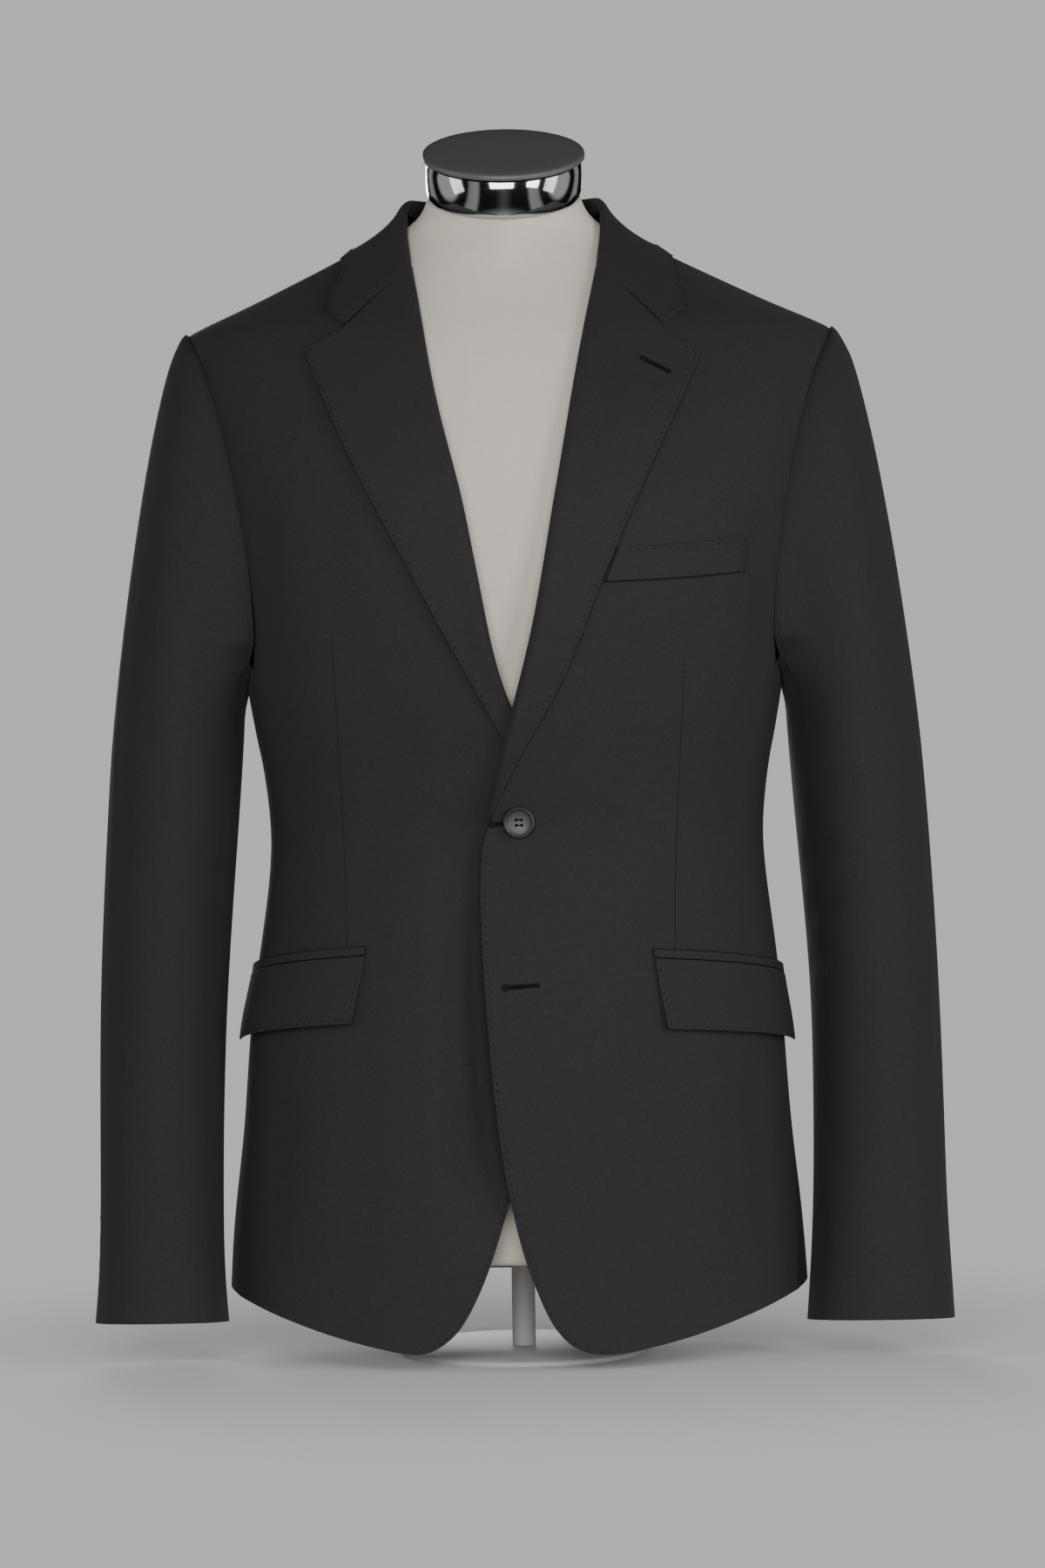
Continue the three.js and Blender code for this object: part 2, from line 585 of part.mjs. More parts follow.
// Sleeve surface: from 0 to 1 out of the armhole and over the crown, from 1 to 2 down to the cuff.
function sleevePoint(psi, down, sleeve) {
  if (down > 1) {
    const straight = sleeveLower(psi, lerp(SLEEVE_TOP_Z, sleeve.cuff, down - 1), sleeve);
    straight.z -= 0.09 * (straight.y + 40) * (down - 1) ** 2;
    return straight;
  }
  const edge = armhole(psi);
  const normal = bodyNormal(edge.phi, edge.z);
  const start = bodyPoint(edge.phi, edge.z);
  const inward = new THREE.Vector3(204, 2, 596).sub(start);
  inward.addScaledVector(normal, -inward.dot(normal)).normalize();
  start.addScaledVector(inward, 0.45).addScaledVector(normal, 0.15);
  const end = sleeveLower(psi, SLEEVE_TOP_Z, sleeve);
  const reach = start.distanceTo(end);
  const facing = Math.cos(rad(psi));
  const top = Math.max(facing, 0);
  const foot = Math.max(-facing, 0);
  const outward = new THREE.Vector3(0.7, 0, 1.85 * top ** 4).addScaledVector(normal, 0.5).normalize();
  const first = start.clone().addScaledVector(outward, reach * (0.2 - 0.09 * top - 0.13 * foot));
  const second = end.clone().add(new THREE.Vector3(-10 * top, 0, reach * lerp(0.34, 0.36, top)));
  return new THREE.CubicBezierCurve3(start, first, second, end).getPoint(down);
}

const sleeveRows = [
  0, 0.06, 0.14, 0.25, 0.39, 0.55, 0.75, 1, 1.11, 1.22, 1.34, 1.46, 1.58, 1.69, 1.79, 1.87, 1.94, 2,
];

function sleevePiece(sleeve, from, to, columns) {
  return wall(sleeveRows.length - 1, columns, (i, j, face) => {
    const down = sleeveRows[j];
    const start = from(down) + 0.2;
    const end = to(down) - 0.2;
    const psi = (lerp(start, end, i / columns) + 360) % 360;
    const point = sleevePoint(psi, down, sleeve);
    if (!face) {
      const before = sleevePoint(psi, Math.max(down - 0.01, 0), sleeve);
      const run = sleevePoint(psi, Math.min(down + 0.01, 2), sleeve).sub(before);
      const beside = sleevePoint((psi + 359.5) % 360, down, sleeve);
      const round = sleevePoint((psi + 0.5) % 360, down, sleeve).sub(beside);
      const inward = round.cross(run).normalize();
      const centre = sleevePoint(0, down, sleeve).add(sleevePoint(180, down, sleeve)).multiplyScalar(0.5);
      if (inward.dot(centre.sub(point)) < 0) inward.negate();
      point.addScaledVector(inward, CLOTH);
    }
    point.x *= sleeve.sign;
    return point;
  });
}

// Small cloth piece lying on the body between two lines, each given by its ends.
function patch(columns, rows, corners, low, high, thick) {
  const { topIn, topOut, lowIn, lowOut, sag } = corners;
  return wall(rows, columns, (i, j, face) => {
    const s = i / columns;
    const t = j / rows;
    const phi = lerp(lerp(topIn.phi, topOut.phi, s), lerp(lowIn.phi, lowOut.phi, s), t);
    const level = lerp(lerp(topIn.z, topOut.z, s), lerp(lowIn.z, lowOut.z, s), t);
    const out = lerp(low, high, t);
    return bodyPoint(phi, level + sag * Math.sin(Math.PI * s), face ? out + thick : out);
  });
}

const onFront = (x, z) => ({ phi: angleAt(x, z), z });
const atTurn = (deg, z) => ({ phi: rad(deg), z });
const pockets = {
  flap_left: {
    topIn: onFront(90.3, 272.6),
    topOut: atTurn(88, 256.8),
    lowIn: onFront(97.5, 225.6),
    lowOut: atTurn(88, 211.6),
    sag: 1.5,
  },
  flap_right: {
    topIn: onFront(-102.3, 276.6),
    topOut: atTurn(-88, 261.6),
    lowIn: onFront(-110.5, 231.8),
    lowOut: atTurn(-88, 216.8),
    sag: 1.5,
  },
  jet_left: {
    topIn: onFront(89.4, 279.2),
    topOut: atTurn(88, 263.4),
    lowIn: onFront(89.6, 273.2),
    lowOut: atTurn(88, 257.4),
    sag: 1.5,
  },
  jet_right: {
    topIn: onFront(-101.4, 283.2),
    topOut: atTurn(-88, 268.2),
    lowIn: onFront(-101.6, 277.2),
    lowOut: atTurn(-88, 262.2),
    sag: 1.5,
  },
  breast_welt: {
    topIn: onFront(70, 545.4),
    topOut: onFront(154.6, 553),
    lowIn: onFront(60.5, 522.6),
    lowOut: onFront(153.6, 530),
    sag: -0.8,
  },
};

const wasm = await Module();
wasm.setup();

function toManifold(geometry) {
  const merged = geometry.index ? geometry : geometry.clone();
  const mesh = new wasm.Mesh({
    numProp: 3,
    vertProperties: new Float32Array(merged.attributes.position.array),
    triVerts: new Uint32Array(merged.index.array),
  });
  mesh.merge();
  return new wasm.Manifold(mesh);
}

function fromManifold(solid) {
  const mesh = solid.getMesh();
  const geometry = new THREE.BufferGeometry();
  geometry.setAttribute('position', new THREE.BufferAttribute(new Float32Array(mesh.vertProperties), 3));
  geometry.setIndex(new THREE.BufferAttribute(new Uint32Array(mesh.triVerts), 1));
  return geometry;
}

// Four-hole button with a raised rim round a dished middle, its back at z = 0.
function buttonShape({ radius, height, dish, hole, pitch }, segments) {
  const profile = [
    [0, 0],
    [radius * 0.82, 0],
    [radius, height * 0.4],
    [radius * 0.96, height * 0.85],
    [radius * 0.88, height],
    [dish, height * 0.7],
    [0, height * 0.56],
  ].map(([r, z]) => new THREE.Vector2(r, z));
  const blank = new THREE.LatheGeometry(profile, segments);
  blank.rotateX(Math.PI / 2);
  let solid = toManifold(blank);
  for (const [sx, sz] of [[1, 1], [1, -1], [-1, 1], [-1, -1]]) {
    const drill = new THREE.CylinderGeometry(hole, hole, height * 4, 6);
    drill.rotateX(Math.PI / 2);
    drill.translate(sx * pitch / 2, sz * pitch / 2, 0);
    solid = solid.subtract(toManifold(drill));
  }
  return fromManifold(solid);
}

// Turns a shape made along +Z so that it lies at a point, facing along a direction.
function laid(geometry, point, facing) {
  const turn = new THREE.Quaternion().setFromUnitVectors(new THREE.Vector3(0, 0, 1), facing);
  geometry.applyQuaternion(turn);
  geometry.translate(point.x, point.y, point.z);
  return geometry;
}

function frontButton(x, z, out) {
  const phi = angleAt(x, z);
  return laid(buttonShape(BUTTON, 24), bodyPoint(phi, z, out), bodyNormal(phi, z));
}

function cuffButton(sleeve, z) {
  const down = 1 + (SLEEVE_TOP_Z - z) / (SLEEVE_TOP_Z - sleeve.cuff);
  const turn = rad(360 - sleeve.buttonTurn);
  const point = sleevePoint(sleeve.buttonTurn, down, sleeve);
  const facing = new THREE.Vector3(Math.cos(turn), Math.sin(turn), 0).normalize();
  point.addScaledVector(facing, 0.9);
  point.x *= sleeve.sign;
  facing.x *= sleeve.sign;
  return laid(buttonShape(CUFF_BUTTON, 12), point, facing);
}

function formBody() {
  const rows = [
    67, 70, 110, 160, 200, 245, 290, 345, 400, 460, 510, 560, 600, 640, 672, 690, 698, 706, 720, 738, 750,
    760, 770, 780, 787, NECK_CENTRE.z,
  ];
  const columns = 28;
  return stack(rows.length - 1, columns, (i, j) => {
    const phi = i / columns * Math.PI * 2;
    const lean = Math.tan(rad(NECK_TILT)) * THREE.MathUtils.smoothstep(rows[j], 738, NECK_CENTRE.z);
    let point = sectionPoint(formSections, phi, rows[j]);
    for (let k = 0; k < 12; k += 1) {
      const z = rows[j] + lean * (point.y - NECK_CENTRE.y);
      point = sectionPoint(formSections, phi, lerp(point.z, z, 0.7));
    }
    if (j === 0) {
      point.x *= 0.975;
      point.y *= 0.975;
    }
    return point;
  });
}

// Solid of revolution from radius and height pairs.
function turnedSolid(pairs, segments) {
  const geometry = new THREE.LatheGeometry(pairs.map(([r, z]) => new THREE.Vector2(r, z)), segments);
  geometry.rotateX(Math.PI / 2);
  return geometry;
}

function onNeck(geometry, lift) {
  const facing = new THREE.Vector3(0, -Math.sin(rad(NECK_TILT)), Math.cos(rad(NECK_TILT)));
  const point = new THREE.Vector3(NECK_CENTRE.x, NECK_CENTRE.y, NECK_CENTRE.z).addScaledVector(facing, lift);
  return laid(geometry, point, facing);
}

const cloth = { color: 0x2b2c2f, roughness: 0.85, metalness: 0 };
const plastic = { color: 0x2e2f31, roughness: 0.4, metalness: 0 };
const jersey = { color: 0xd8cfc2, roughness: 0.9, metalness: 0 };
const chrome = { color: 0xc8cacc, roughness: 0.15, metalness: 1 };
const painted = { color: 0xb9b9b9, roughness: 0.5, metalness: 0.1 };

const suit = new THREE.Group();
suit.name = 'business_suit_jacket_on_form';

function add(name, geometry, look) {
  const mesh = new THREE.Mesh(geometry, new THREE.MeshStandardMaterial(look));
  mesh.name = name;
  suit.add(mesh);
}

const ringHeight = RING.height;
const ringRadius = RING.radius;
add('stand_foot', turnedSolid([
  [0, 0],
  [FOOT.radius, 0],
  [FOOT.radius, FOOT.height - 1.5],
  [FOOT.radius - 2, FOOT.height],
  [0, FOOT.height],
], 48), painted);
add('stand_pole', turnedSolid([
  [0, FOOT.height + 0.3],
  [POLE.radius, FOOT.height + 0.3],
  [POLE.radius, POLE.top],
  [0, POLE.top],
], 24), painted);
add('form_torso', formBody(), jersey);
add('neck_ring', onNeck(turnedSolid([
  [0, 0.3],
  [ringRadius - 1.5, 0.3],
  [ringRadius, 2],
  [ringRadius, ringHeight - 2],
  [ringRadius - 1.5, ringHeight - 0.3],
  [0, ringHeight - 0.3],
], 40), 0), chrome);
add('neck_cap', onNeck(turnedSolid([
  [0, ringHeight],
  [CAP.radius - 0.8, ringHeight],
  [CAP.radius, ringHeight + 0.8],
  [CAP.radius, ringHeight + CAP.height - 2],
  [CAP.radius - 0.6, ringHeight + CAP.height - 0.7],
  [CAP.radius - 2.4, ringHeight + CAP.height],
  [0, ringHeight + CAP.height + 1],
], 40), 0), plastic);

add('front_left', frontPanel('left'), cloth);
add('front_right', frontPanel('right'), cloth);
add('side_left', sidePanel(1), cloth);
add('side_right', sidePanel(-1), cloth);
add('back_left', backPanel(1), cloth);
add('back_right', backPanel(-1), cloth);
add('lapel_left', lapel('left'), cloth);
add('lapel_right', lapel('right'), cloth);
add('collar', collar(), cloth);

for (const [side, sleeve] of Object.entries(sleeves)) {
  const hindSeam = (down) => lerp(-66, sleeve.hindTurn, Math.max(down - 1, 0));
  const foreSeam = () => 142;
  add(`top_sleeve_${side}`, sleevePiece(sleeve, hindSeam, foreSeam, 13), cloth);
  add(`under_sleeve_${side}`, sleevePiece(sleeve, foreSeam, (down) => hindSeam(down) + 360, 8), cloth);
  for (const [k, z] of [[1, 98.5], [2, 83], [3, 67.5]]) {
    add(`cuff_button_${side}_${k}`, cuffButton(sleeve, z), plastic);
  }
}

add('jet_left', patch(9, 1, pockets.jet_left, 0.55, 0.55, 1.2), cloth);
add('jet_right', patch(9, 1, pockets.jet_right, 0.55, 0.55, 1.2), cloth);
add('flap_left', patch(10, 3, pockets.flap_left, 0.55, 0.9, 1.6), cloth);
add('flap_right', patch(10, 3, pockets.flap_right, 0.55, 0.9, 1.6), cloth);
add('breast_welt', patch(8, 2, pockets.breast_welt, 0.5, 0.5, 1.5), cloth);
add('button_front', frontButton(1.4, 365, 5), plastic);
add('button_lower', frontButton(1, 255.5, 0.4), plastic);

export default suit;
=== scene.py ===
import math
import random

import bmesh
import bpy
import numpy as np
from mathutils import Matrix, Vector
from mathutils.bvhtree import BVHTree
from mathutils.kdtree import KDTree


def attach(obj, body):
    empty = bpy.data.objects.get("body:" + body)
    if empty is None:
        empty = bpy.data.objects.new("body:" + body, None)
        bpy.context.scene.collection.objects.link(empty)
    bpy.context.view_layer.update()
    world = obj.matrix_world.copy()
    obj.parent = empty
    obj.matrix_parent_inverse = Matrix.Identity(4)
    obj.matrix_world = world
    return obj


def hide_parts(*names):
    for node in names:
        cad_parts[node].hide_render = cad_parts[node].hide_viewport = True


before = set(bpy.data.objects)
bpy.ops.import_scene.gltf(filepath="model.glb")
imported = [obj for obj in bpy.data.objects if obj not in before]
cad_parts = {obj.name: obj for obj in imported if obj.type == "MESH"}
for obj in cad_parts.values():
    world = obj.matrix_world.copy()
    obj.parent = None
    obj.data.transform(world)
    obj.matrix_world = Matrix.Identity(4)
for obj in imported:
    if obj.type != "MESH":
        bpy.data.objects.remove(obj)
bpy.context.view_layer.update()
random.seed(11)

mm = 0.001
waveTurn = 0.314  # a Wave Texture of scale 1 repeats every 0.314 m


def dropSelection():
    if bpy.context.object and bpy.context.object.mode != "OBJECT":
        bpy.ops.object.mode_set(mode="OBJECT")
    bpy.ops.object.select_all(action="DESELECT")


def choose(piece):
    dropSelection()
    piece.select_set(True)
    bpy.context.view_layer.objects.active = piece


def linearOf(hexColour):  # sRGB hex to linear
    parts = [int(hexColour[k:k + 2], 16) / 255 for k in (1, 3, 5)]
    return [c / 12.92 if c <= 0.04045 else ((c + 0.055) / 1.055) ** 2.4 for c in parts] + [1.0]


def addNode(tree, kind, settings=None, links=None):
    node = tree.nodes.new(kind)
    for name, value in (settings or {}).items():
        if isinstance(name, int) or (name in node.inputs and not hasattr(node, name)):
            node.inputs[name].default_value = value
        else:
            setattr(node, name, value)
    for name, source in (links or {}).items():
        tree.links.new(source, node.inputs[name])
    return node


def newMaterial(name, baseHex, roughness, metallic=0.0):
    material = bpy.data.materials.new(name)
    material.use_nodes = True
    shader = material.node_tree.nodes["Principled BSDF"]
    shader.inputs["Base Color"].default_value = linearOf(baseHex)
    shader.inputs["Roughness"].default_value = roughness
    shader.inputs["Metallic"].default_value = metallic
    return material, shader


def smoothStep(value, low, high):
    t = np.clip((value - low) / (high - low), 0.0, 1.0)
    return t * t * (3 - 2 * t)


worsted = {
    "base": "#111111",
    "light": "#323233",
    "twillMm": 0.9,       # drawn three times coarser than the real 0.3 mm wale, which wouldn't show
    "heatherMm": 1.5,
    "bumpMm": 0.16,
    "dartMm": 0.45,       # half the width of a pressed dart seam
    # painted shade: the colour the cloth is darkened to along a dart, standing for the shadow in its pressed
    # groove
    "dart": "#080808",
    "twillDegrees": 32,
    "roughness": 0.78,
    "specular": 0.22,
    "sheen": 0.04,
    "sheenRoughness": 0.5,
}


def worstedMaterial():
    # Fine worsted wool twill, woven and pressed: near black and matt, with a faint bloom and a fine grain.
    material, shader = newMaterial("worsted wool twill, pressed", worsted["base"], worsted["roughness"])
    tree = material.node_tree
    place = addNode(tree, "ShaderNodeTexCoord")
    twill = addNode(tree, "ShaderNodeMapping", {"Rotation": (0.0, math.radians(worsted["twillDegrees"]), 0.0)},
                    {"Vector": place.outputs["Object"]})
    wale = addNode(tree, "ShaderNodeTexWave", {
        "wave_type": "BANDS",
        "bands_direction": "X",
        "Scale": waveTurn / (worsted["twillMm"] * mm),
        "Distortion": 1.4,
        "Detail": 1.0,
    }, {"Vector": twill.outputs["Vector"]})
    heather = addNode(tree, "ShaderNodeTexNoise", {"Scale": 1 / (worsted["heatherMm"] * mm), "Detail": 3.0},
                      {"Vector": place.outputs["Object"]})
    weave = addNode(tree, "ShaderNodeMix", {"data_type": "FLOAT", 0: 0.62},
                    {2: wale.outputs["Fac"], 3: heather.outputs["Fac"]})
    tone = addNode(tree, "ShaderNodeMix", {
        "data_type": "RGBA",
        6: linearOf(worsted["base"]),
        7: linearOf(worsted["light"]),
    }, {0: weave.outputs[0]})
    # the attribute read here holds 1 + distance / 10 mm from the dart, and 0 where a piece has no dart
    dart = addNode(tree, "ShaderNodeAttribute", {"attribute_name": "dart"})
    part = addNode(tree, "ShaderNodeSeparateXYZ", {}, {0: dart.outputs["Vector"]})
    away = addNode(tree, "ShaderNodeMath", {"operation": "SUBTRACT", 1: 1.0}, {0: part.outputs["X"]})
    size = addNode(tree, "ShaderNodeMath", {"operation": "ABSOLUTE"}, {0: away.outputs[0]})
    groove = addNode(tree, "ShaderNodeMapRange", {
        "interpolation_type": "SMOOTHSTEP",
        "From Min": 0.0,
        "From Max": worsted["dartMm"] / 10,
        "To Min": 1.0,
        "To Max": 0.0,
    }, {"Value": size.outputs[0]})
    fold = addNode(tree, "ShaderNodeMath", {"operation": "MULTIPLY"},
                   {0: groove.outputs[0], 1: part.outputs["Y"]})
    # painted shade: along the dart the cloth colour is darkened, standing for the shadow in the pressed groove
    shade = addNode(tree, "ShaderNodeMix", {"data_type": "RGBA", 7: linearOf(worsted["dart"])}, {
        0: fold.outputs[0],
        6: tone.outputs[2],
    })
    tree.links.new(shade.outputs[2], shader.inputs["Base Color"])
    deep = addNode(tree, "ShaderNodeMath", {"operation": "MULTIPLY", 1: 5.0}, {0: fold.outputs[0]})
    height = addNode(tree, "ShaderNodeMath", {"operation": "SUBTRACT"},
                     {0: weave.outputs[0], 1: deep.outputs[0]})
    bump = addNode(tree, "ShaderNodeBump", {"Strength": 0.6, "Distance": worsted["bumpMm"] * mm},
                   {"Height": height.outputs[0]})
    tree.links.new(bump.outputs["Normal"], shader.inputs["Normal"])
    shader.inputs["Sheen Weight"].default_value = worsted["sheen"]
    shader.inputs["Sheen Roughness"].default_value = worsted["sheenRoughness"]
    shader.inputs["Specular IOR Level"].default_value = worsted["specular"]
    return material


def jerseyMaterial():
    # Cotton jersey stretched over the form: matt cream with a faint fine knit.
    material, shader = newMaterial("cotton jersey, knitted", "#d3cbbe", 0.92)
    tree = material.node_tree
    place = addNode(tree, "ShaderNodeTexCoord")
    rib = addNode(tree, "ShaderNodeTexWave", {
        "wave_type": "BANDS",
        "bands_direction": "X",
        "Scale": waveTurn / (1.4 * mm),
        "Distortion": 0.6,
    }, {"Vector": place.outputs["Object"]})
    slub = addNode(tree, "ShaderNodeTexNoise", {"Scale": 260.0, "Detail": 4.0},
                   {"Vector": place.outputs["Object"]})
    knit = addNode(tree, "ShaderNodeMix", {"data_type": "FLOAT", 0: 0.5},
                   {2: rib.outputs["Fac"], 3: slub.outputs["Fac"]})
    tone = addNode(tree, "ShaderNodeMix", {
        "data_type": "RGBA",
        6: linearOf("#c6beb0"),
        7: linearOf("#d8d1c5"),
    }, {0: knit.outputs[0]})
    tree.links.new(tone.outputs[2], shader.inputs["Base Color"])
    bump = addNode(tree, "ShaderNodeBump", {"Strength": 0.3, "Distance": 0.12 * mm},
                   {"Height": knit.outputs[0]})
    tree.links.new(bump.outputs["Normal"], shader.inputs["Normal"])
    shader.inputs["Sheen Weight"].default_value = 0.15
    return material


def resinMaterial():
    # Polyester resin button, turned and tumbled: dark rim, paler dished middle with a faint horn-like streak.
    material, shader = newMaterial("polyester resin, turned and tumbled", "#3a3b3c", 0.45)
    tree = material.node_tree
    place = addNode(tree, "ShaderNodeTexCoord")
    radial = addNode(tree, "ShaderNodeAttribute", {"attribute_name": "radial"})
    rings = addNode(tree, "ShaderNodeValToRGB", {}, {"Fac": radial.outputs["Fac"]})
    stops = rings.color_ramp.elements
    stops[0].position, stops[0].color = 0.0, linearOf("#474748")
    stops[1].position, stops[1].color = 1.0, linearOf("#131314")
    for position, colour in ((0.66, "#424243"), (0.74, "#151516"), (0.87, "#3a3a3b")):
        stop = stops.new(position)
        stop.color = linearOf(colour)
    streak = addNode(tree, "ShaderNodeTexNoise", {"Scale": 180.0, "Detail": 5.0, "Distortion": 1.5},
                     {"Vector": place.outputs["Object"]})
    tone = addNode(tree, "ShaderNodeMix", {"data_type": "RGBA", "blend_type": "MULTIPLY", 0: 0.3},
                   {6: rings.outputs["Color"], 7: streak.outputs["Color"]})
    tree.links.new(tone.outputs[2], shader.inputs["Base Color"])
    return material


def chromeMaterial():
    # Chromed steel band, polished: a mirror with hairline wipe marks round it.
    material, shader = newMaterial("chromed steel, polished", "#cfd1d3", 0.07, 1.0)
    tree = material.node_tree
    place = addNode(tree, "ShaderNodeTexCoord")
    flat = addNode(tree, "ShaderNodeMapping", {"Scale": (30.0, 30.0, 900.0)},
                   {"Vector": place.outputs["Object"]})
    wipe = addNode(tree, "ShaderNodeTexNoise", {"Scale": 1.0, "Detail": 3.0},
                   {"Vector": flat.outputs["Vector"]})
    gloss = addNode(tree, "ShaderNodeMapRange", {"To Min": 0.04, "To Max": 0.12},
                    {"Value": wipe.outputs["Fac"]})
    tree.links.new(gloss.outputs[0], shader.inputs["Roughness"])
    return material


def capMaterial():
    # ABS cap, moulded with a fine satin grain that dulls its shine.
    material, shader = newMaterial("ABS, satin moulded", "#59595a", 0.4)
    tree = material.node_tree
    place = addNode(tree, "ShaderNodeTexCoord")
    grain = addNode(tree, "ShaderNodeTexNoise", {"Scale": 1400.0, "Detail": 2.0},
                    {"Vector": place.outputs["Object"]})
    bump = addNode(tree, "ShaderNodeBump", {"Strength": 0.25, "Distance": 0.05 * mm},
                   {"Height": grain.outputs["Fac"]})
    tree.links.new(bump.outputs["Normal"], shader.inputs["Normal"])
    return material


def paintMaterial():
    # Powder-coated steel: pale grey with a slight orange-peel surface.
    material, shader = newMaterial("steel, powder coated", "#a9a9a9", 0.5)
    tree = material.node_tree
    place = addNode(tree, "ShaderNodeTexCoord")
    peel = addNode(tree, "ShaderNodeTexNoise", {"Scale": 700.0, "Detail": 2.0},
                   {"Vector": place.outputs["Object"]})
    bump = addNode(tree, "ShaderNodeBump", {"Strength": 0.3, "Distance": 0.1 * mm},
                   {"Height": peel.outputs["Fac"]})
    tree.links.new(bump.outputs["Normal"], shader.inputs["Normal"])
    return material


def threadMaterial():
    # Silk buttonhole twist: a tight black cord with a slight shine, also used for beads of painted shade in
    # slits and seams.
    material, shader = newMaterial("silk thread, twisted", "#0e0e0f", 0.75)
    tree = material.node_tree
    place = addNode(tree, "ShaderNodeTexCoord")
    ply = addNode(tree, "ShaderNodeTexWave", {"Scale": waveTurn / (0.3 * mm), "bands_direction": "DIAGONAL"},
                  {"Vector": place.outputs["Object"]})
    bump = addNode(tree, "ShaderNodeBump", {"Strength": 0.4, "Distance": 0.05 * mm},
                   {"Height": ply.outputs["Fac"]})
    tree.links.new(bump.outputs["Normal"], shader.inputs["Normal"])
    shader.inputs["Specular IOR Level"].default_value = 0.12
    return material


suitCloth = worstedMaterial()
formJersey = jerseyMaterial()
buttonResin = resinMaterial()
ringChrome = chromeMaterial()
capPlastic = capMaterial()
standPaint = paintMaterial()
silkThreadAndPaintedShade = threadMaterial()
print("materials made")


# How each cloth piece is copied: the axis it stands off, how sharp a bend stays an edge, and how far
# its outer face may bend from one facet to the next.
shellFacts = {"levels": 3, "sharp": 55, "crease": 0.92, "crispSharp": 70, "crispTurn": 17}
armAxis = (0.243, -0.012)
shells = {
    "front_left": {"flood": 30},
    "front_right": {"flood": 30},
    "side_left": {},
    "side_right": {},
    "back_left": {},
    "back_right": {},
    "top_sleeve_left": {"axis": armAxis},
    "top_sleeve_right": {"axis": (-armAxis[0], armAxis[1])},
    "under_sleeve_left": {"axis": armAxis},
    "under_sleeve_right": {"axis": (-armAxis[0], armAxis[1])},
    "lapel_left": {"sharp": 78, "flood": 30},
    "lapel_right": {"sharp": 78, "flood": 30},
    "collar": {"axis": (0, -0.02), "sharp": 78, "flood": 30},
    "flap_left": {},
    "flap_right": {},
    "jet_left": {},
    "jet_right": {},
    "breast_welt": {},
}
# The triangles at the shoulder points have long diagonals, which would pucker the cloth there.
shoulder = {"outMm": 190, "aboveMm": 690, "longMm": 28, "steepMm": 6}


def copyNode(node, ending):
    choose(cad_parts[node])
    bpy.ops.object.duplicate()
    piece = bpy.context.object
    piece.name = node + ending
    piece.hide_render = False
    bpy.ops.object.mode_set(mode="EDIT")
    bpy.ops.mesh.select_all(action="SELECT")
    bpy.ops.mesh.remove_doubles(threshold=0.01 * mm)
    bpy.ops.mesh.tris_convert_to_quads(face_threshold=math.radians(40), shape_threshold=math.radians(60))
    bpy.ops.object.mode_set(mode="OBJECT")
    return piece


def puckers(edge):
    a, b = (point.co for point in edge.verts)
    there = abs(a.x) > shoulder["outMm"] * mm and min(a.z, b.z) > shoulder["aboveMm"] * mm
    slant = edge.calc_length() > shoulder["longMm"] * mm and abs(a.z - b.z) > shoulder["steepMm"] * mm
    return there and slant and all(len(face.verts) == 3 for face in edge.link_faces)


def markRims(piece, axis, sharp, flood):
    # The outer face is what a look from outside meets, up to the sharp bends. It gets slot 0, the rest slot 1.
    sheet = bmesh.new()
    sheet.from_mesh(piece.data)
    bmesh.ops.dissolve_edges(sheet, edges=[e for e in sheet.edges if puckers(e)])
    sheet.faces.ensure_lookup_table()
    middle = sum((v.co for v in sheet.verts), Vector()) / len(sheet.verts)
    outward = Vector((middle.x - axis[0], middle.y - axis[1], 0)).normalized()
    hit = BVHTree.FromBMesh(sheet).ray_cast(middle + outward * 0.4, -outward)
    seed = sheet.faces[hit[2]]
    outer, waiting = {seed}, [seed]
    while waiting:
        for edge in waiting.pop().edges:
            if edge.calc_face_angle(0) < math.radians(flood):
                for face in edge.link_faces:
                    if face not in outer:
                        outer.add(face)
                        waiting.append(face)
    edgeCrease = sheet.edges.layers.float.get("crease_edge") or sheet.edges.layers.float.new("crease_edge")
    pointCrease = sheet.verts.layers.float.get("crease_vert") or sheet.verts.layers.float.new("crease_vert")
    for edge in sheet.edges:
        if edge.calc_face_angle(0) >= math.radians(sharp):
            edge[edgeCrease] = shellFacts["crease"]
    for face in sheet.faces:
        face.material_index = 0 if face in outer else 1
    if sharp > shellFacts["crispSharp"]:  # notch and peak corners stay crisp
        for point in sheet.verts:
            rim = [e for e in point.link_edges if e[edgeCrease] > 0]
            if len(rim) == 2:
                a, b = (e.other_vert(point).co - point.co for e in rim)
                if a.angle(-b) > math.radians(shellFacts["crispTurn"]):
                    point[pointCrease] = 1.0
    sheet.to_mesh(piece.data)
    sheet.free()


def clothCopy(node, axis=(0, 0), sharp=shellFacts["sharp"], flood=55):
    piece = copyNode(node, "_cloth")
    piece.data.materials.clear()
    piece.data.materials.append(suitCloth)
    piece.data.materials.append(suitCloth)
    markRims(piece, axis, sharp, flood)
    finer = piece.modifiers.new("finer", "SUBSURF")
    finer.levels = shellFacts["levels"]
    finer.render_levels = shellFacts["levels"]
    choose(piece)
    bpy.ops.object.modifier_apply(modifier="finer")
    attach(piece, "root")
    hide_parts(node)
    return piece


def pointsOf(piece):
    points = np.empty(len(piece.data.vertices) * 3)
    piece.data.vertices.foreach_get("co", points)
    return points.reshape(-1, 3)


def setPoints(piece, points):
    piece.data.vertices.foreach_set("co", points.ravel())
    piece.data.update()


def outerFaces(piece):
    return [p for p in piece.data.polygons if p.material_index == 0]


def outerTree(piece):
    faces = [tuple(p.vertices) for p in outerFaces(piece)]
    return BVHTree.FromPolygons([v.co.copy() for v in piece.data.vertices], faces)


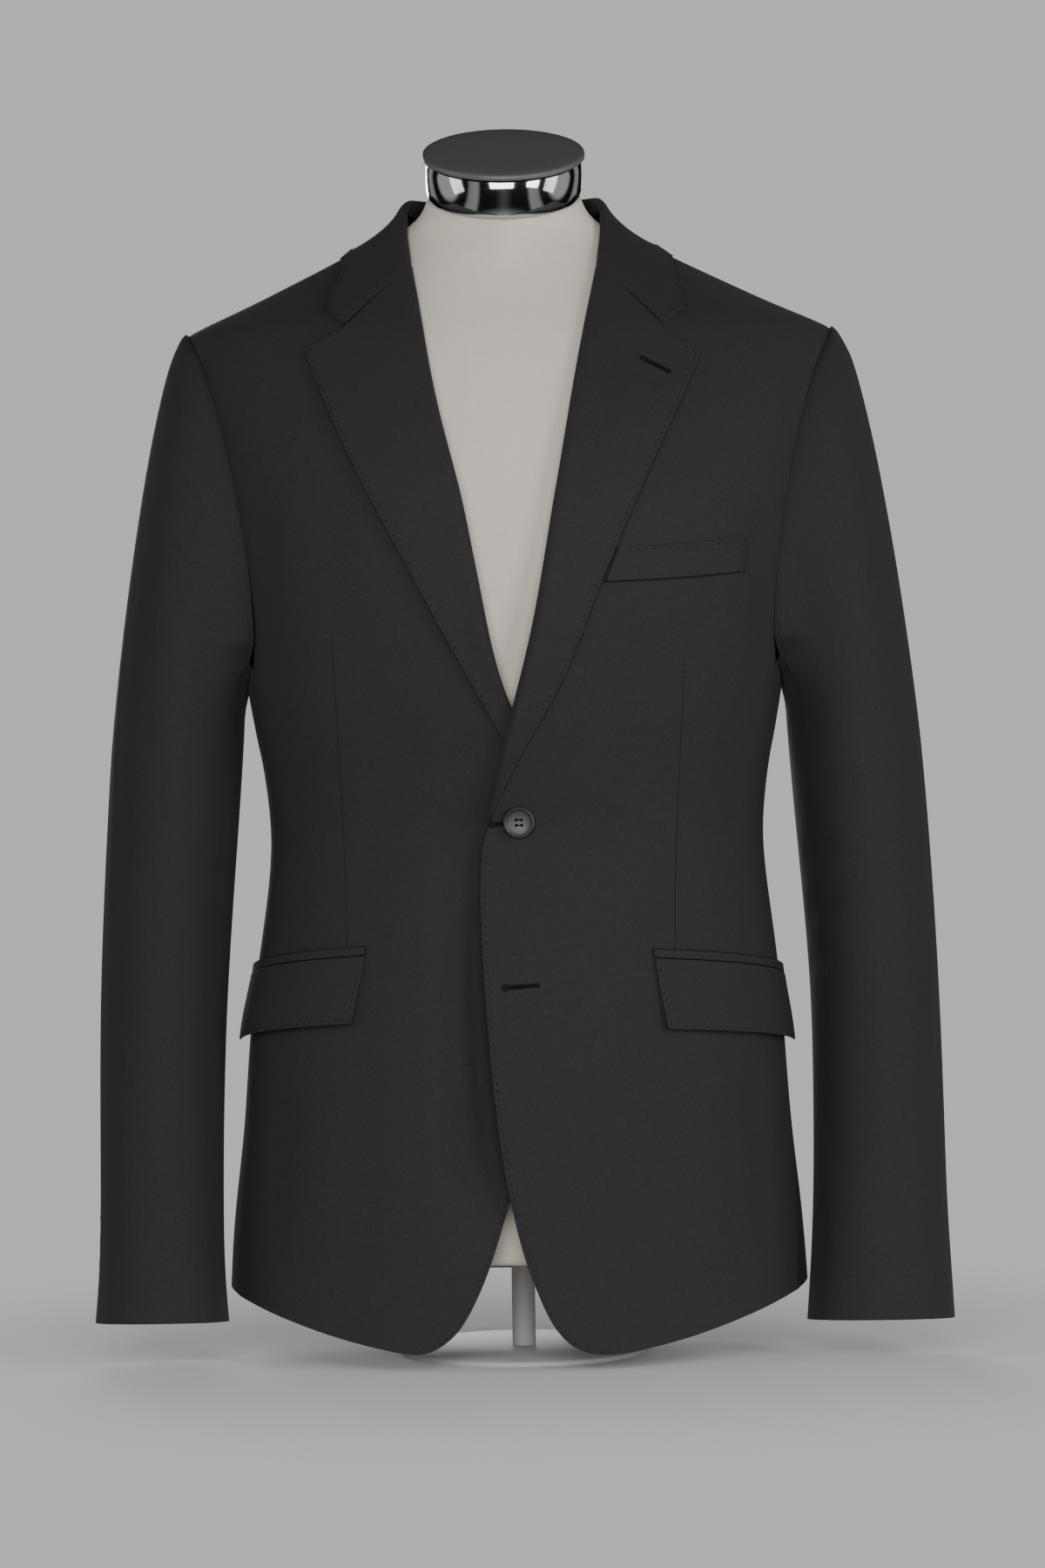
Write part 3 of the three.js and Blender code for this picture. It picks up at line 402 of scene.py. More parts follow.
def rimLoops(piece):  # the borders of the outer face, as rings of vertex numbers
    count = {}
    for face in outerFaces(piece):
        for key in face.edge_keys:
            count[key] = count.get(key, 0) + 1
    beside = {}
    for a, b in (key for key, n in count.items() if n == 1):
        beside.setdefault(a, []).append(b)
        beside.setdefault(b, []).append(a)
    loops = []
    left = set(beside)
    while left:
        start = left.pop()
        ring, last, here = [start], None, start
        while True:
            ahead = [v for v in beside[here] if v != last and v in left]
            if not ahead:
                break
            last, here = here, ahead[0]
            left.discard(here)
            ring.append(here)
        loops.append(ring)
    return loops


cloth = {node: clothCopy(node, **way) for node, way in shells.items()}
print("cloth shells made")

points = {node: pointsOf(piece) for node, piece in cloth.items()}
trees = {node: outerTree(piece) for node, piece in cloth.items()}
rims = {node: rimLoops(piece) for node, piece in cloth.items()}


def outwardOf(node):
    found = [trees[node].find_nearest(Vector(p)) for p in points[node]]
    return np.array([hit[1] for hit in found])


outward = {node: outwardOf(node) for node in cloth}

# Sewn edges: which pieces meet, how deep the seam is pressed and how far the cloth is drawn in beside it.
seams = [
    {"pieces": ["front_left", "side_left"], "deepMm": 0.45, "wideMm": 3.2, "reachMm": 1.9},
    {"pieces": ["front_right", "side_right"], "deepMm": 0.45, "wideMm": 3.2, "reachMm": 1.9},
    {"pieces": ["side_left", "back_left"], "deepMm": 0.45, "wideMm": 3.2, "reachMm": 1.9},
    {"pieces": ["side_right", "back_right"], "deepMm": 0.45, "wideMm": 3.2, "reachMm": 1.9},
    {"pieces": ["back_left", "back_right"], "deepMm": 0.4, "wideMm": 3.0, "reachMm": 1.9},
    {"pieces": ["front_left", "back_left"], "deepMm": 0.4, "wideMm": 3.0, "reachMm": 1.9},
    {"pieces": ["front_right", "back_right"], "deepMm": 0.4, "wideMm": 3.0, "reachMm": 1.9},
    {"pieces": ["top_sleeve_left", "under_sleeve_left"], "deepMm": 0.5, "wideMm": 3.5, "reachMm": 1.9},
    {"pieces": ["top_sleeve_right", "under_sleeve_right"], "deepMm": 0.5, "wideMm": 3.5, "reachMm": 1.9},
    {"pieces": ["collar", "lapel_left"], "deepMm": 0.35, "wideMm": 2.6, "reachMm": 1.9},
    {"pieces": ["collar", "lapel_right"], "deepMm": 0.35, "wideMm": 2.6, "reachMm": 1.9},
] + [
    {"pieces": [sleeve + side, body + side], "deepMm": 0.5, "wideMm": 4.5, "reachMm": 9.0, "share": 1.0,
     "aboveMm": 447}
    for side in ("_left", "_right")
    for sleeve in ("top_sleeve", "under_sleeve")
    for body in ("front", "side", "back")
]


# How a rim laps another: how far it goes past and under it. Armholes reach less far below lowMm.
lap = {"pastMm": 1.0, "underMm": 0.35, "sleeveUnderMm": 0.6, "sleeveDeepMm": 0.6,
       "lowMm": 650, "lowReachMm": 3.6}


def nearTree(places):
    tree = KDTree(len(places))
    for k, place in enumerate(places):
        tree.insert(place, k)
    tree.balance()
    return tree


def densely(node):  # the rim with extra points between its vertices
    path = []
    for ring in rims[node]:
        for a, b in zip(ring, ring[1:] + ring[:1]):
            start, end = points[node][a], points[node][b]
            if np.linalg.norm(end - start) < 0.03:
                path += [start + (end - start) * t for t in (0.0, 0.25, 0.5, 0.75)]
    return np.array(path)


def onPath(path, k, place):  # the closest point of a path, near its point k
    best = path[k]
    for j in (k - 1, k + 1):
        if 0 <= j < len(path):
            step = path[j] - path[k]
            size = step @ step
            if 0 < size < 0.0001:
                spot = path[k] + step * min(max((place - path[k]) @ step / size, 0.0), 1.0)
                if np.linalg.norm(spot - place) < np.linalg.norm(best - place):
                    best = spot
    return best


def closeSeams():
    # Rims are drawn together, so that no light comes through, and the cloth beside them follows softly.
    paths = {node: densely(node) for node in cloth}
    near = {node: nearTree(path) for node, path in paths.items()}
    found = {node: {} for node in cloth}
    for seam in seams:
        first, second = seam["pieces"]
        share = seam.get("share", 0.5)
        for one, other, part in ((first, second, share), (second, first, 1 - share)):
            for ring in rims[one]:
                for v in ring:
                    place = points[one][v]
                    if place[2] < seam.get("aboveMm", 0) * mm:
                        continue
                    _, k, far = near[other].find(Vector(place))
                    target = onPath(paths[other], k, place)
                    far = np.linalg.norm(target - place)
                    reach = seam["reachMm"]
                    if place[2] <= lap["lowMm"] * mm:
                        reach = min(reach, lap["lowReachMm"])
                    if far < reach * mm and far < found[one].get(v, [1.0])[0]:
                        way = (target - place) * part
                        deep = seam["deepMm"]
                        past = way * (1 + lap["pastMm"] * mm / far) if far else way
                        if share == 1.0 and part == 1.0 and far > 0.2 * mm:  # a sleeve tucks under the body
                            below = trees[other].find_nearest(Vector(target))[1]
                            way = past - np.array(below) * lap["sleeveUnderMm"] * mm
                            deep = lap["sleeveDeepMm"]
                        elif one == second and far > 0.02 * mm:  # the second piece laps under the first
                            below = trees[one].find_nearest(Vector(place))[1]
                            way = past - np.array(below) * lap["underMm"] * mm
                        found[one][v] = [far, way, deep, seam["wideMm"]]
    for node, sewn in found.items():
        rim = [v for ring in rims[node] for v in ring]
        move = np.array([sewn[v][1] if v in sewn else (0, 0, 0) for v in rim])
        free = np.array([v not in sewn for v in rim])
        for _ in range(8):  # the free edge beside a seam follows it softly
            move[free] = ((np.roll(move, 1, 0) + np.roll(move, -1, 0)) / 2)[free]
        tree = nearTree(points[node][rim])
        held = [(sewn[v][2] * mm, sewn[v][3] * mm) if v in sewn else (0.0, 1.0) for v in rim]
        moved = points[node].copy()
        for v, place in enumerate(points[node]):
            _, k, far = tree.find(Vector(place))
            spread = 4 * mm + 7 * np.linalg.norm(move[k])
            if far < spread:
                moved[v] += move[k] * (1 - smoothStep(far, 0.0, spread))
            deep, wide = held[k]
            if far < wide:
                moved[v] -= outward[node][v] * deep * (1 - far / wide) ** 1.5
        points[node] = moved


closeSeams()
print("seams closed")

# Soft folds. Places are (x, z) in mm from the front, or (degrees, z) round the body or round an arm.
# A minus depth is a trough and a plus depth a ridge.
folds = [
    {"on": "front", "path": [(163, 590), (166, 520), (170, 452)], "deepMm": -2.4, "wideMm": 13},
    {"on": "front", "path": [(-166, 600), (-168, 530), (-172, 455)], "deepMm": -2.8, "wideMm": 14},
    {"on": "front", "path": [(128, 520), (132, 440), (126, 372)], "deepMm": 1.0, "wideMm": 24},
    {"on": "front", "path": [(-128, 540), (-134, 450), (-130, 380)], "deepMm": 1.0, "wideMm": 24},
    {"on": "front", "path": [(34, 372), (70, 362), (112, 346)], "deepMm": -0.55, "wideMm": 8},
    {"on": "front", "path": [(36, 352), (78, 334), (124, 306)], "deepMm": -0.5, "wideMm": 9},
    {"on": "front", "path": [(-52, 378), (-84, 366), (-128, 346)], "deepMm": -0.5, "wideMm": 8},
    {"on": "front", "path": [(-56, 350), (-92, 330), (-134, 300)], "deepMm": -0.45, "wideMm": 10},
    {"on": "front", "path": [(112, 205), (122, 130), (132, 60)], "deepMm": 1.5, "wideMm": 22},
    {"on": "front", "path": [(152, 205), (162, 130), (168, 62)], "deepMm": -1.6, "wideMm": 13},
    {"on": "front", "path": [(-118, 208), (-128, 130), (-138, 62)], "deepMm": 1.3, "wideMm": 22},
    {"on": "front", "path": [(-156, 205), (-165, 130), (-171, 62)], "deepMm": -1.5, "wideMm": 13},
    {"on": "round", "path": [(146, 610), (143, 540), (146, 455)], "deepMm": -2.0, "wideMm": 18},
    {"on": "round", "path": [(-144, 618), (-141, 545), (-147, 460)], "deepMm": -1.8, "wideMm": 18},
    {"on": "round", "path": [(128, 560), (124, 480), (128, 400)], "deepMm": 1.4, "wideMm": 16},
    {"on": "round", "path": [(-126, 566), (-123, 486), (-127, 398)], "deepMm": 1.3, "wideMm": 16},
    {"on": "round", "path": [(138, 352), (158, 344), (176, 350)], "deepMm": -1.1, "wideMm": 9},
    {"on": "round", "path": [(-140, 340), (-160, 335), (-175, 344)], "deepMm": -1.0, "wideMm": 9},
    {"on": "round", "path": [(150, 250), (151, 160), (154, 52)], "deepMm": 1.8, "wideMm": 26},
    {"on": "round", "path": [(-152, 250), (-152, 160), (-155, 52)], "deepMm": 1.8, "wideMm": 26},
    {"on": "round", "path": [(166, 220), (167, 150), (168, 50)], "deepMm": -1.4, "wideMm": 14},
    {"on": "round", "path": [(-167, 210), (-168, 140), (-168, 50)], "deepMm": -1.2, "wideMm": 14},
    {"on": "arm_left", "path": [(48, 520), (46, 400), (44, 280), (42, 150)], "deepMm": 1.1, "wideMm": 6},
    {"on": "arm_right", "path": [(48, 530), (46, 400), (44, 290), (42, 160)], "deepMm": 1.4, "wideMm": 6},
    {"on": "arm_left", "path": [(84, 560), (80, 470), (86, 380)], "deepMm": -1.2, "wideMm": 15},
    {"on": "arm_right", "path": [(86, 566), (82, 470), (84, 386)], "deepMm": -1.2, "wideMm": 15},
    {"on": "arm_left", "path": [(112, 352), (136, 338), (164, 341)], "deepMm": -1.5, "wideMm": 9},
    {"on": "arm_left", "path": [(108, 316), (134, 303), (168, 300)], "deepMm": -1.7, "wideMm": 9},
    {"on": "arm_left", "path": [(120, 282), (144, 268), (172, 268)], "deepMm": -1.1, "wideMm": 8},
    {"on": "arm_right", "path": [(110, 346), (138, 333), (166, 337)], "deepMm": -1.6, "wideMm": 9},
    {"on": "arm_right", "path": [(114, 308), (140, 292), (170, 293)], "deepMm": -1.5, "wideMm": 10},
    {"on": "arm_right", "path": [(122, 274), (146, 262), (174, 262)], "deepMm": -1.0, "wideMm": 8},
    {"on": "arm_left", "path": [(232, 420), (236, 330), (240, 240)], "deepMm": 1.6, "wideMm": 16},
    {"on": "arm_right", "path": [(232, 420), (236, 330), (240, 240)], "deepMm": 1.6, "wideMm": 16},
    {"on": "arm_left", "path": [(70, 160), (84, 110), (92, 52)], "deepMm": -1.0, "wideMm": 13},
    {"on": "arm_right", "path": [(68, 160), (82, 110), (90, 56)], "deepMm": -1.0, "wideMm": 13},
]
bodyNodes = [n for n in cloth if "sleeve" not in n]
armNodes = {
    "arm_left": ["top_sleeve_left", "under_sleeve_left"],
    "arm_right": ["top_sleeve_right", "under_sleeve_right"],
}


def armCentre(side, z):
    sign = 1 if side == "arm_left" else -1
    y = np.interp(z, [20, 60, 108, 180, 252, 324, 430], [-47, -40, -31, -18, -8, -1, 2])
    return Vector((sign * 243 * mm, float(y) * mm, z * mm)), sign


def onCloth(kind, a, z):  # the point of the cloth that a look from outside meets
    if kind == "front":
        start, toward = Vector((a * mm, -0.5, z * mm)), Vector((0, 1, 0))
        nodes = ["front_left", "front_right"]
    elif kind == "round":
        turn = math.radians(a)
        toward = Vector((-math.sin(turn), math.cos(turn), 0))
        start, nodes = Vector((0, 0, z * mm)) - toward * 0.5, bodyNodes[:6]
    else:
        centre, sign = armCentre(kind, z)
        turn = math.radians(a)
        toward = -Vector((sign * math.cos(turn), -math.sin(turn), 0))
        start, nodes = centre - toward * 0.09, armNodes[kind]
    hits = [trees[n].ray_cast(start, toward) for n in nodes]
    hits = [h for h in hits if h[0]]
    return min(hits, key=lambda h: (h[0] - start).length)[0] if hits else None


def smoothPath(kind, path):
    steps = np.linspace(0, len(path) - 1, 36)
    row = np.arange(len(path))
    a = np.interp(steps, row, [p[0] for p in path])
    z = np.interp(steps, row, [p[1] for p in path])
    if len(path) > 2:  # corners of the path rounded off
        for _ in range(6):
            a[1:-1] = (a[:-2] + a[2:] + 2 * a[1:-1]) / 4
            z[1:-1] = (z[:-2] + z[2:] + 2 * z[1:-1]) / 4
    found = [onCloth(kind, *place) for place in zip(a, z)]
    return np.array([f for f in found if f is not None])


def foldCloth():
    for fold in folds:
        line = smoothPath(fold["on"], fold["path"])
        wide = fold["wideMm"] * mm
        low, high = line.min(0) - 2.6 * wide, line.max(0) + 2.6 * wide
        for node in armNodes.get(fold["on"], bodyNodes):
            spots = points[node]
            inside = np.where(((spots > low) & (spots < high)).all(1))[0]
            if not len(inside):
                continue
            far = np.linalg.norm(spots[inside, None, :] - line[None], axis=2)
            along = far.argmin(1) / (len(line) - 1)
            amount = fold["deepMm"] * mm * np.exp(-(far.min(1) / wide) ** 2)
            amount *= smoothStep(along, -0.02, 0.3) * (1 - smoothStep(along, 0.7, 1.02))
            points[node][inside] += outward[node][inside] * amount[:, None]


foldCloth()

# The right front dips as it goes under the left one, which leaves a soft shade beside the overlap.
overlap = {"fromMm": -66, "toMm": -20, "topMm": 398, "lowMm": 66,
           "atMm": [66, 150, 250, 305, 398], "deepMm": [10, 13, 12, 7.5, 6]}


def dipUnder(node):
    x, z = points[node][:, 0] / mm, points[node][:, 2] / mm
    amount = smoothStep(x, overlap["fromMm"], overlap["toMm"])
    amount *= smoothStep(z, overlap["lowMm"], overlap["lowMm"] + 90)
    amount *= 1 - smoothStep(z, overlap["topMm"] - 60, overlap["topMm"])
    amount *= points[node][:, 1] < 0
    deep = np.interp(z, overlap["atMm"], overlap["deepMm"])
    points[node] -= outward[node] * (amount * deep * mm)[:, None]


dipUnder("front_right")

flapLiftMm = 3.0  # how far the lower edge stands off
for node in ("flap_left", "flap_right"):
    z = points[node][:, 2]
    drop = (z.max() - z) / (z.max() - z.min())
    points[node] += outward[node] * (smoothStep(drop, 0.1, 1.0) * flapLiftMm * mm)[:, None]


def rollLine(z, table):
    return np.interp(z, [row[0] for row in table], [row[1] for row in table])


# Roll lines of the lapels as (z, x) in mm. Away from them the lapels stand off the chest a little.
leftRoll = [(370, -20.4), (442, -2.2), (551, 22.4), (643, 39), (738, 57.5)]
rightRoll = [(384, 19.5), (442, -3), (493, -17), (551, -27.7), (643, -49), (740, -64.6)]
for node, table in (("lapel_left", leftRoll), ("lapel_right", rightRoll)):
    x, z = points[node][:, 0] / mm, points[node][:, 2] / mm
    lift = 2.2 * smoothStep(abs(x - rollLine(z, table)), 5, 40) * (1 - smoothStep(z, 630, 690))
    points[node] += outward[node] * (lift * mm)[:, None]

for node, piece in cloth.items():
    setPoints(piece, points[node])
    trees[node] = outerTree(piece)
print("folds made")

# Front darts, as x at each height in mm. They show only in the cloth material, as painted shade and a bump
# groove along this line.
darts = {
    "front_left": {"z": [276, 330, 390, 440, 486], "x": [104.5, 105.5, 108.5, 111.5, 113.6]},
    "front_right": {"z": [276, 330, 390, 440, 500], "x": [-114.6, -115.4, -117.4, -119.6, -121.6]},
}


def markDart(node):
    place = points[node] / mm
    dart = darts[node]
    away = place[:, 0] - np.interp(place[:, 2], dart["z"], dart["x"])
    inside = smoothStep(place[:, 2], dart["z"][0] - 4, dart["z"][0])
    inside = inside * (1 - smoothStep(place[:, 2], dart["z"][-1] - 30, dart["z"][-1]))
    store = cloth[node].data.attributes.new("dart", "FLOAT_VECTOR", "POINT")
    values = np.column_stack([1 + away / 10, inside, np.zeros(len(away))])
    store.data.foreach_set("vector", values.ravel())


for node in darts:
    markDart(node)

for node, piece in cloth.items():
    for face in piece.data.polygons:
        face.material_index = 0
    piece.data.materials.pop(index=1)
    choose(piece)
    bpy.ops.object.shade_smooth_by_angle(angle=math.radians(50))
print("cloth finished")


def dressed(node, material, levels=0, sharp=55):
    piece = copyNode(node, "_finish")
    if levels:
        bpy.ops.object.mode_set(mode="EDIT")
        bpy.ops.mesh.select_all(action="DESELECT")
        bpy.ops.mesh.select_mode(type="EDGE")
        bpy.ops.mesh.edges_select_sharp(sharpness=math.radians(sharp))
        bpy.ops.transform.edge_crease(value=0.9)
        bpy.ops.object.mode_set(mode="OBJECT")
    piece.data.materials.clear()
    piece.data.materials.append(material)
    if levels:
        finer = piece.modifiers.new("finer", "SUBSURF")
        finer.levels = levels
        finer.render_levels = levels
        bpy.ops.object.modifier_apply(modifier="finer")
    bpy.ops.object.shade_smooth_by_angle(angle=math.radians(35))
    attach(piece, "root")
    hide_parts(node)
    return piece


dressed("form_torso", formJersey, 2)
dressed("neck_ring", ringChrome, 1)
dressed("neck_cap", capPlastic, 1)
dressed("stand_pole", standPaint)
dressed("stand_foot", standPaint)


def discFrame(piece):  # middle and facing of a button
    spots = pointsOf(piece)
    middle = spots.mean(0)
    facing = np.linalg.svd(spots - middle)[2][2]
    if facing @ (middle * np.array([1, 1, 0])) < 0:
        facing = -facing
    return spots, middle, facing


buttons = {}
for node in [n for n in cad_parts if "button" in n]:
    piece = dressed(node, buttonResin)
    spots, middle, facing = discFrame(piece)
    off = spots - middle
    far = np.linalg.norm(off - np.outer(off @ facing, facing), axis=1)
    store = piece.data.attributes.new("radial", "FLOAT", "POINT")
    store.data.foreach_set("value", far / far.max())
    buttons[node] = {"piece": piece, "middle": Vector(middle), "facing": Vector(facing)}
print("form, stand and buttons made")


stitch = {"longMm": 1.6, "wideMm": 0.85, "highMm": 0.3, "pitchMm": 5.2, "insetMm": 2.1}

dropSelection()
bpy.ops.mesh.primitive_uv_sphere_add(segments=8, ring_count=5, radius=1.0, location=(0, 0, 0))
bead = bpy.context.object
beadSpots = np.array([v.co[:] for v in bead.data.vertices])
beadFaces = [tuple(f.vertices) for f in bead.data.polygons]
bpy.ops.object.delete()


def threadAndShadeBeads(name, places):
    # One bead at each place, a short thread or a dark bead of painted shade: middle, direction, facing, and
    # its length, width and height in mm.
    spots, faces = [], []
    for middle, along, facing, sizes in places:
        facing = facing.normalized()
        along = (along - facing * along.dot(facing)).normalized()
        across = facing.cross(along)
        turn = np.array([along[:], across[:], facing[:]])
        first = len(spots) * len(beadSpots)
        spots.append(beadSpots * (np.array(sizes) * mm / 2) @ turn + np.array(middle[:]))
        faces += [tuple(first + k for k in face) for face in beadFaces]
    mesh = bpy.data.meshes.new(name)
    mesh.from_pydata(np.concatenate(spots).tolist(), [], faces)
    mesh.materials.append(silkThreadAndPaintedShade)
    piece = bpy.data.objects.new(name, mesh)
    bpy.context.collection.objects.link(piece)
    choose(piece)
    bpy.ops.object.shade_smooth()
    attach(piece, "root")
    return piece


def rimRun(node, keep):  # the longest stretch of the piece's edge that keep accepts
    best = []
    for ring in rims[node]:
        wanted = [keep(points[node][v] / mm) for v in ring]
        if all(wanted):
            start = 0
        elif any(wanted):
            start = next(k for k in range(len(ring)) if not wanted[k])
        else:
            continue
        run = []
        for k in range(len(ring) + 1):
            v = (start + k) % len(ring)
            if wanted[v] and k < len(ring):
                run.append(Vector(points[node][ring[v]]))
            else:
                best = max(best, run, key=len)
                run = []
    return best


def walk(path, pitch, start=0.0):  # places a pitch apart along a path, with their directions
    steps, here = [], start
    for a, b in zip(path, path[1:]):
        length = (b - a).length
        while here < length:
            steps.append((a.lerp(b, here / length), (b - a).normalized()))
            here += pitch * random.uniform(0.94, 1.06)
        here -= length
    return steps


def pickStitches(node, keep, insetMm=None):
    path = rimRun(node, keep)
    inset = (insetMm or stitch["insetMm"]) * mm
    steps = walk(path, stitch["pitchMm"] * mm, 1.5 * mm)
    tree = trees[node]
    middle, along = steps[len(steps) // 2]
    normal = tree.find_nearest(middle)[1]
    side = normal.cross(along)
    inner = min((1, -1), key=lambda s: tree.find_nearest(middle + side * s * inset)[3])
    places = []
    for place, along in steps:
        normal = tree.find_nearest(place)[1]
        spot, facing, _, far = tree.find_nearest(place + normal.cross(along) * inner * inset)
        if far < 0.8 * mm:
            size = (stitch["longMm"] * random.uniform(0.85, 1.15), stitch["wideMm"], stitch["highMm"])
            places.append((spot, along, facing, size))
    return places


# Which stretch of each edge is stitched, by its place (x, y, z) in mm.
stitched = {
    "lapel_left": lambda p: (p[0] > rollLine(p[2], leftRoll) + 3.5
                             and (p[0] > 101.5 or p[2] < 734.5 - (p[0] - 57.5) * 0.93)),
    "lapel_right": lambda p: (p[0] < rollLine(p[2], rightRoll) - 3.5 and p[2] > 436
                              and (p[0] < -110 or p[2] < 736.5 - (-p[0] - 64.6) * 0.93)),
    "collar": lambda p: (p[2] < 772 and (abs(p[0]) > 80 or p[1] > 0)
                         and (p[0] > 102.6 or p[0] < -114.8 or p[2] > 714)),
    "front_left": lambda p: p[2] < 352 and p[0] < 60,
    "front_right": lambda p: p[2] < 140 and p[0] > -76,
    "flap_left": lambda p: p[2] < 268.5 - (p[0] - 90.3) * 0.167 and p[1] < -12,
    "flap_right": lambda p: p[2] < 272.5 - (-p[0] - 102.3) * 0.177 and p[1] < -12,
    "breast_welt": lambda p: p[2] > 526 + (p[0] - 60.5) * 0.08 and p[0] > 76,
}
stitchAndShadeWork = {node: pickStitches(node, keep) for node, keep in stitched.items()}

# Worked buttonholes, from and to in (x, z) mm on the front; an eyelet at the first end where there is one.
holes = [
    {"node": "front_left", "from": (-16.4, 363.4), "to": (6, 364.6), "eyeletMm": 1.5},
    {"node": "front_left", "from": (-9.4, 255.3), "to": (12.6, 256.6), "eyeletMm": 1.7},
    {"node": "lapel_left", "from": (105.3, 664.1), "to": (87.6, 673.6), "eyeletMm": 0.9},
]


# Sizes are the length, width and height of one thread, in mm. Offs are from the slit.
holeWork = {
    "pitchMm": 0.62,
    "barOffMm": 0.95, "bar": (1.55, 0.56, 0.6),
    "purlOffMm": 0.38, "purl": (0.74, 0.42, 0.5),
    "rays": 18, "rayOffMm": 0.55, "ray": (1.5, 0.56, 0.62),
    "endBar": (3.6, 0.5, 0.6),
}


def workedHole(hole):
    tree = trees[hole["node"]]

    def onPiece(x, z):
        hit = tree.ray_cast(Vector((x * mm, -0.5, z * mm)), Vector((0, 1, 0)))
        if hit[0] is None:
            hit = tree.find_nearest(Vector((x * mm, -0.11, z * mm)))
        return hit[0], hit[1]

    start, end = Vector(hole["from"]), Vector(hole["to"])
    along2 = (end - start).normalized()
    across2 = Vector((-along2.y, along2.x))
    along = Vector((along2.x, 0, along2.y))
    across = Vector((across2.x, 0, across2.y))
    eye = hole["eyeletMm"]
    places = []
    length = (end - start).length
    steps = int(length / holeWork["pitchMm"])
    for k in range(steps + 1):
        far = k / steps * length
        if far < eye * 1.1:
            continue
        middle = start + along2 * far
        for s in (1, -1):
            spot, facing = onPiece(*(middle + across2 * s * holeWork["barOffMm"]))
            places.append((spot + facing * 0.1 * mm, across, facing, holeWork["bar"]))
            spot, facing = onPiece(*(middle + across2 * s * holeWork["purlOffMm"]))
            places.append((spot + facing * 0.22 * mm, along, facing, holeWork["purl"]))
    for k in range(holeWork["rays"]):  # rays round the eyelet
        turn = math.radians(k * 360 / holeWork["rays"])
        ray = along2 * math.cos(turn) + across2 * math.sin(turn)
        if ray.dot(along2) > 0.9:
            continue
        spot, facing = onPiece(*(start + ray * (eye + holeWork["rayOffMm"])))
        places.append((spot + facing * 0.1 * mm, Vector((ray.x, 0, ray.y)), facing, holeWork["ray"]))
    for k in (-1.5, -0.5, 0.5, 1.5):  # bar across the other end
        spot, facing = onPiece(*(end + along2 * (0.5 + 0.16 * k)))
        places.append((spot + facing * 0.24 * mm, across, facing, holeWork["endBar"]))
    # painted shade: the slit is a flat dark bead, standing for the shade inside the cut
    spot, facing = onPiece(*(start + along2 * length / 2))
    places.append((spot, along, facing, (length, 0.5, 0.16)))  # the dark slit
    # painted shade: the eyelet hole is a flat dark bead, standing for the shade inside the hole
    spot, facing = onPiece(*start)
    places.append((spot, along, facing, (eye * 1.7, eye * 1.5, 0.2)))  # the eyelet
    return places


for hole in holes:
    stitchAndShadeWork[hole["node"]] += workedHole(hole)


# Dark thread beads laid along a rim: painted shade for the slit where two edges meet.
def paintedShadeLine(node, keep, wideMm=0.6):  # the shaded slit where two edges meet
    places = []
    for place, along in walk(rimRun(node, keep), 2.4 * mm):
        spot, facing, _, _ = trees[node].find_nearest(place)
        places.append((spot - facing * 0.05 * mm, along, facing, (3.4, wideMm, 0.5)))
    return places


def byArmhole(p):
    return 470 < p[2] < 697 and abs(p[0]) > 174 and abs(p[1]) > 2


def bySideSeam(p):
    return p[1] < -8 and 16 < p[2] < 455


# painted shade: dark beads along the jets, the armholes, the side seams and under the breast welt stand for
# the shade in the slits
for node in ("jet_left", "jet_right"):
    stitchAndShadeWork[node] = paintedShadeLine(node, lambda p: True)
for node in ("front_left", "front_right", "back_left", "back_right"):
    stitchAndShadeWork[node] = stitchAndShadeWork.get(node, []) + paintedShadeLine(node, byArmhole, 1.5)
for node in ("side_left", "side_right"):
    stitchAndShadeWork[node] = paintedShadeLine(node, bySideSeam, 0.9)
stitchAndShadeWork["breast_welt"] += paintedShadeLine("breast_welt", lambda p: p[2] < 526 + (p[0] - 60.5) * 0.08)
stitchAndShadeBeads = {node: threadAndShadeBeads(node + "_sewing", places) for node, places in stitchAndShadeWork.items()}


def buttonThreads():
    # Two thread bars through the four holes, and a wound shank behind the front button.
    for node, button in buttons.items():
        facing, middle = button["facing"], button["middle"]
        big = node.startswith("button")
        pitch = (1.8 if big else 1.3) * mm
        across = Vector((0, 0, 1)).cross(facing).normalized()
        up = facing.cross(across).normalized()
        lift = (0.35 if big else 0.25) * mm
        places = []
        for s in (1, -1):
            for ply in (-0.3, 0.0, 0.3):
                spot = middle + up * (s * pitch + ply * mm * 0.8) + facing * lift
                places.append((spot, across, facing, (2 * pitch / mm + 1.4, 0.36, 0.7)))
        if node == "button_front":
            for k in range(7):
                spot = middle - facing * (1.6 + k * 0.5) * mm
                for turn in range(4):
                    way = (across * math.cos(turn * 0.79) + up * math.sin(turn * 0.79))
                    places.append((spot, way, facing, (3.6, 1.2, 0.6)))
        threadAndShadeBeads(node + "_thread", places)


buttonThreads()
# the count includes the dark beads of painted shade
print("sewing made:", sum(len(p) for p in stitchAndShadeWork.values()), "stitches")


studio = {
    "backdrop": "#b0b0b0",
    "backdropStrength": 1.29,
    "roomStrength": 0.4,
    "sidePower": 9.0,
    "frontPower": 30.0,
    "rightPower": 17.0,
    "backPower": 34.0,
}


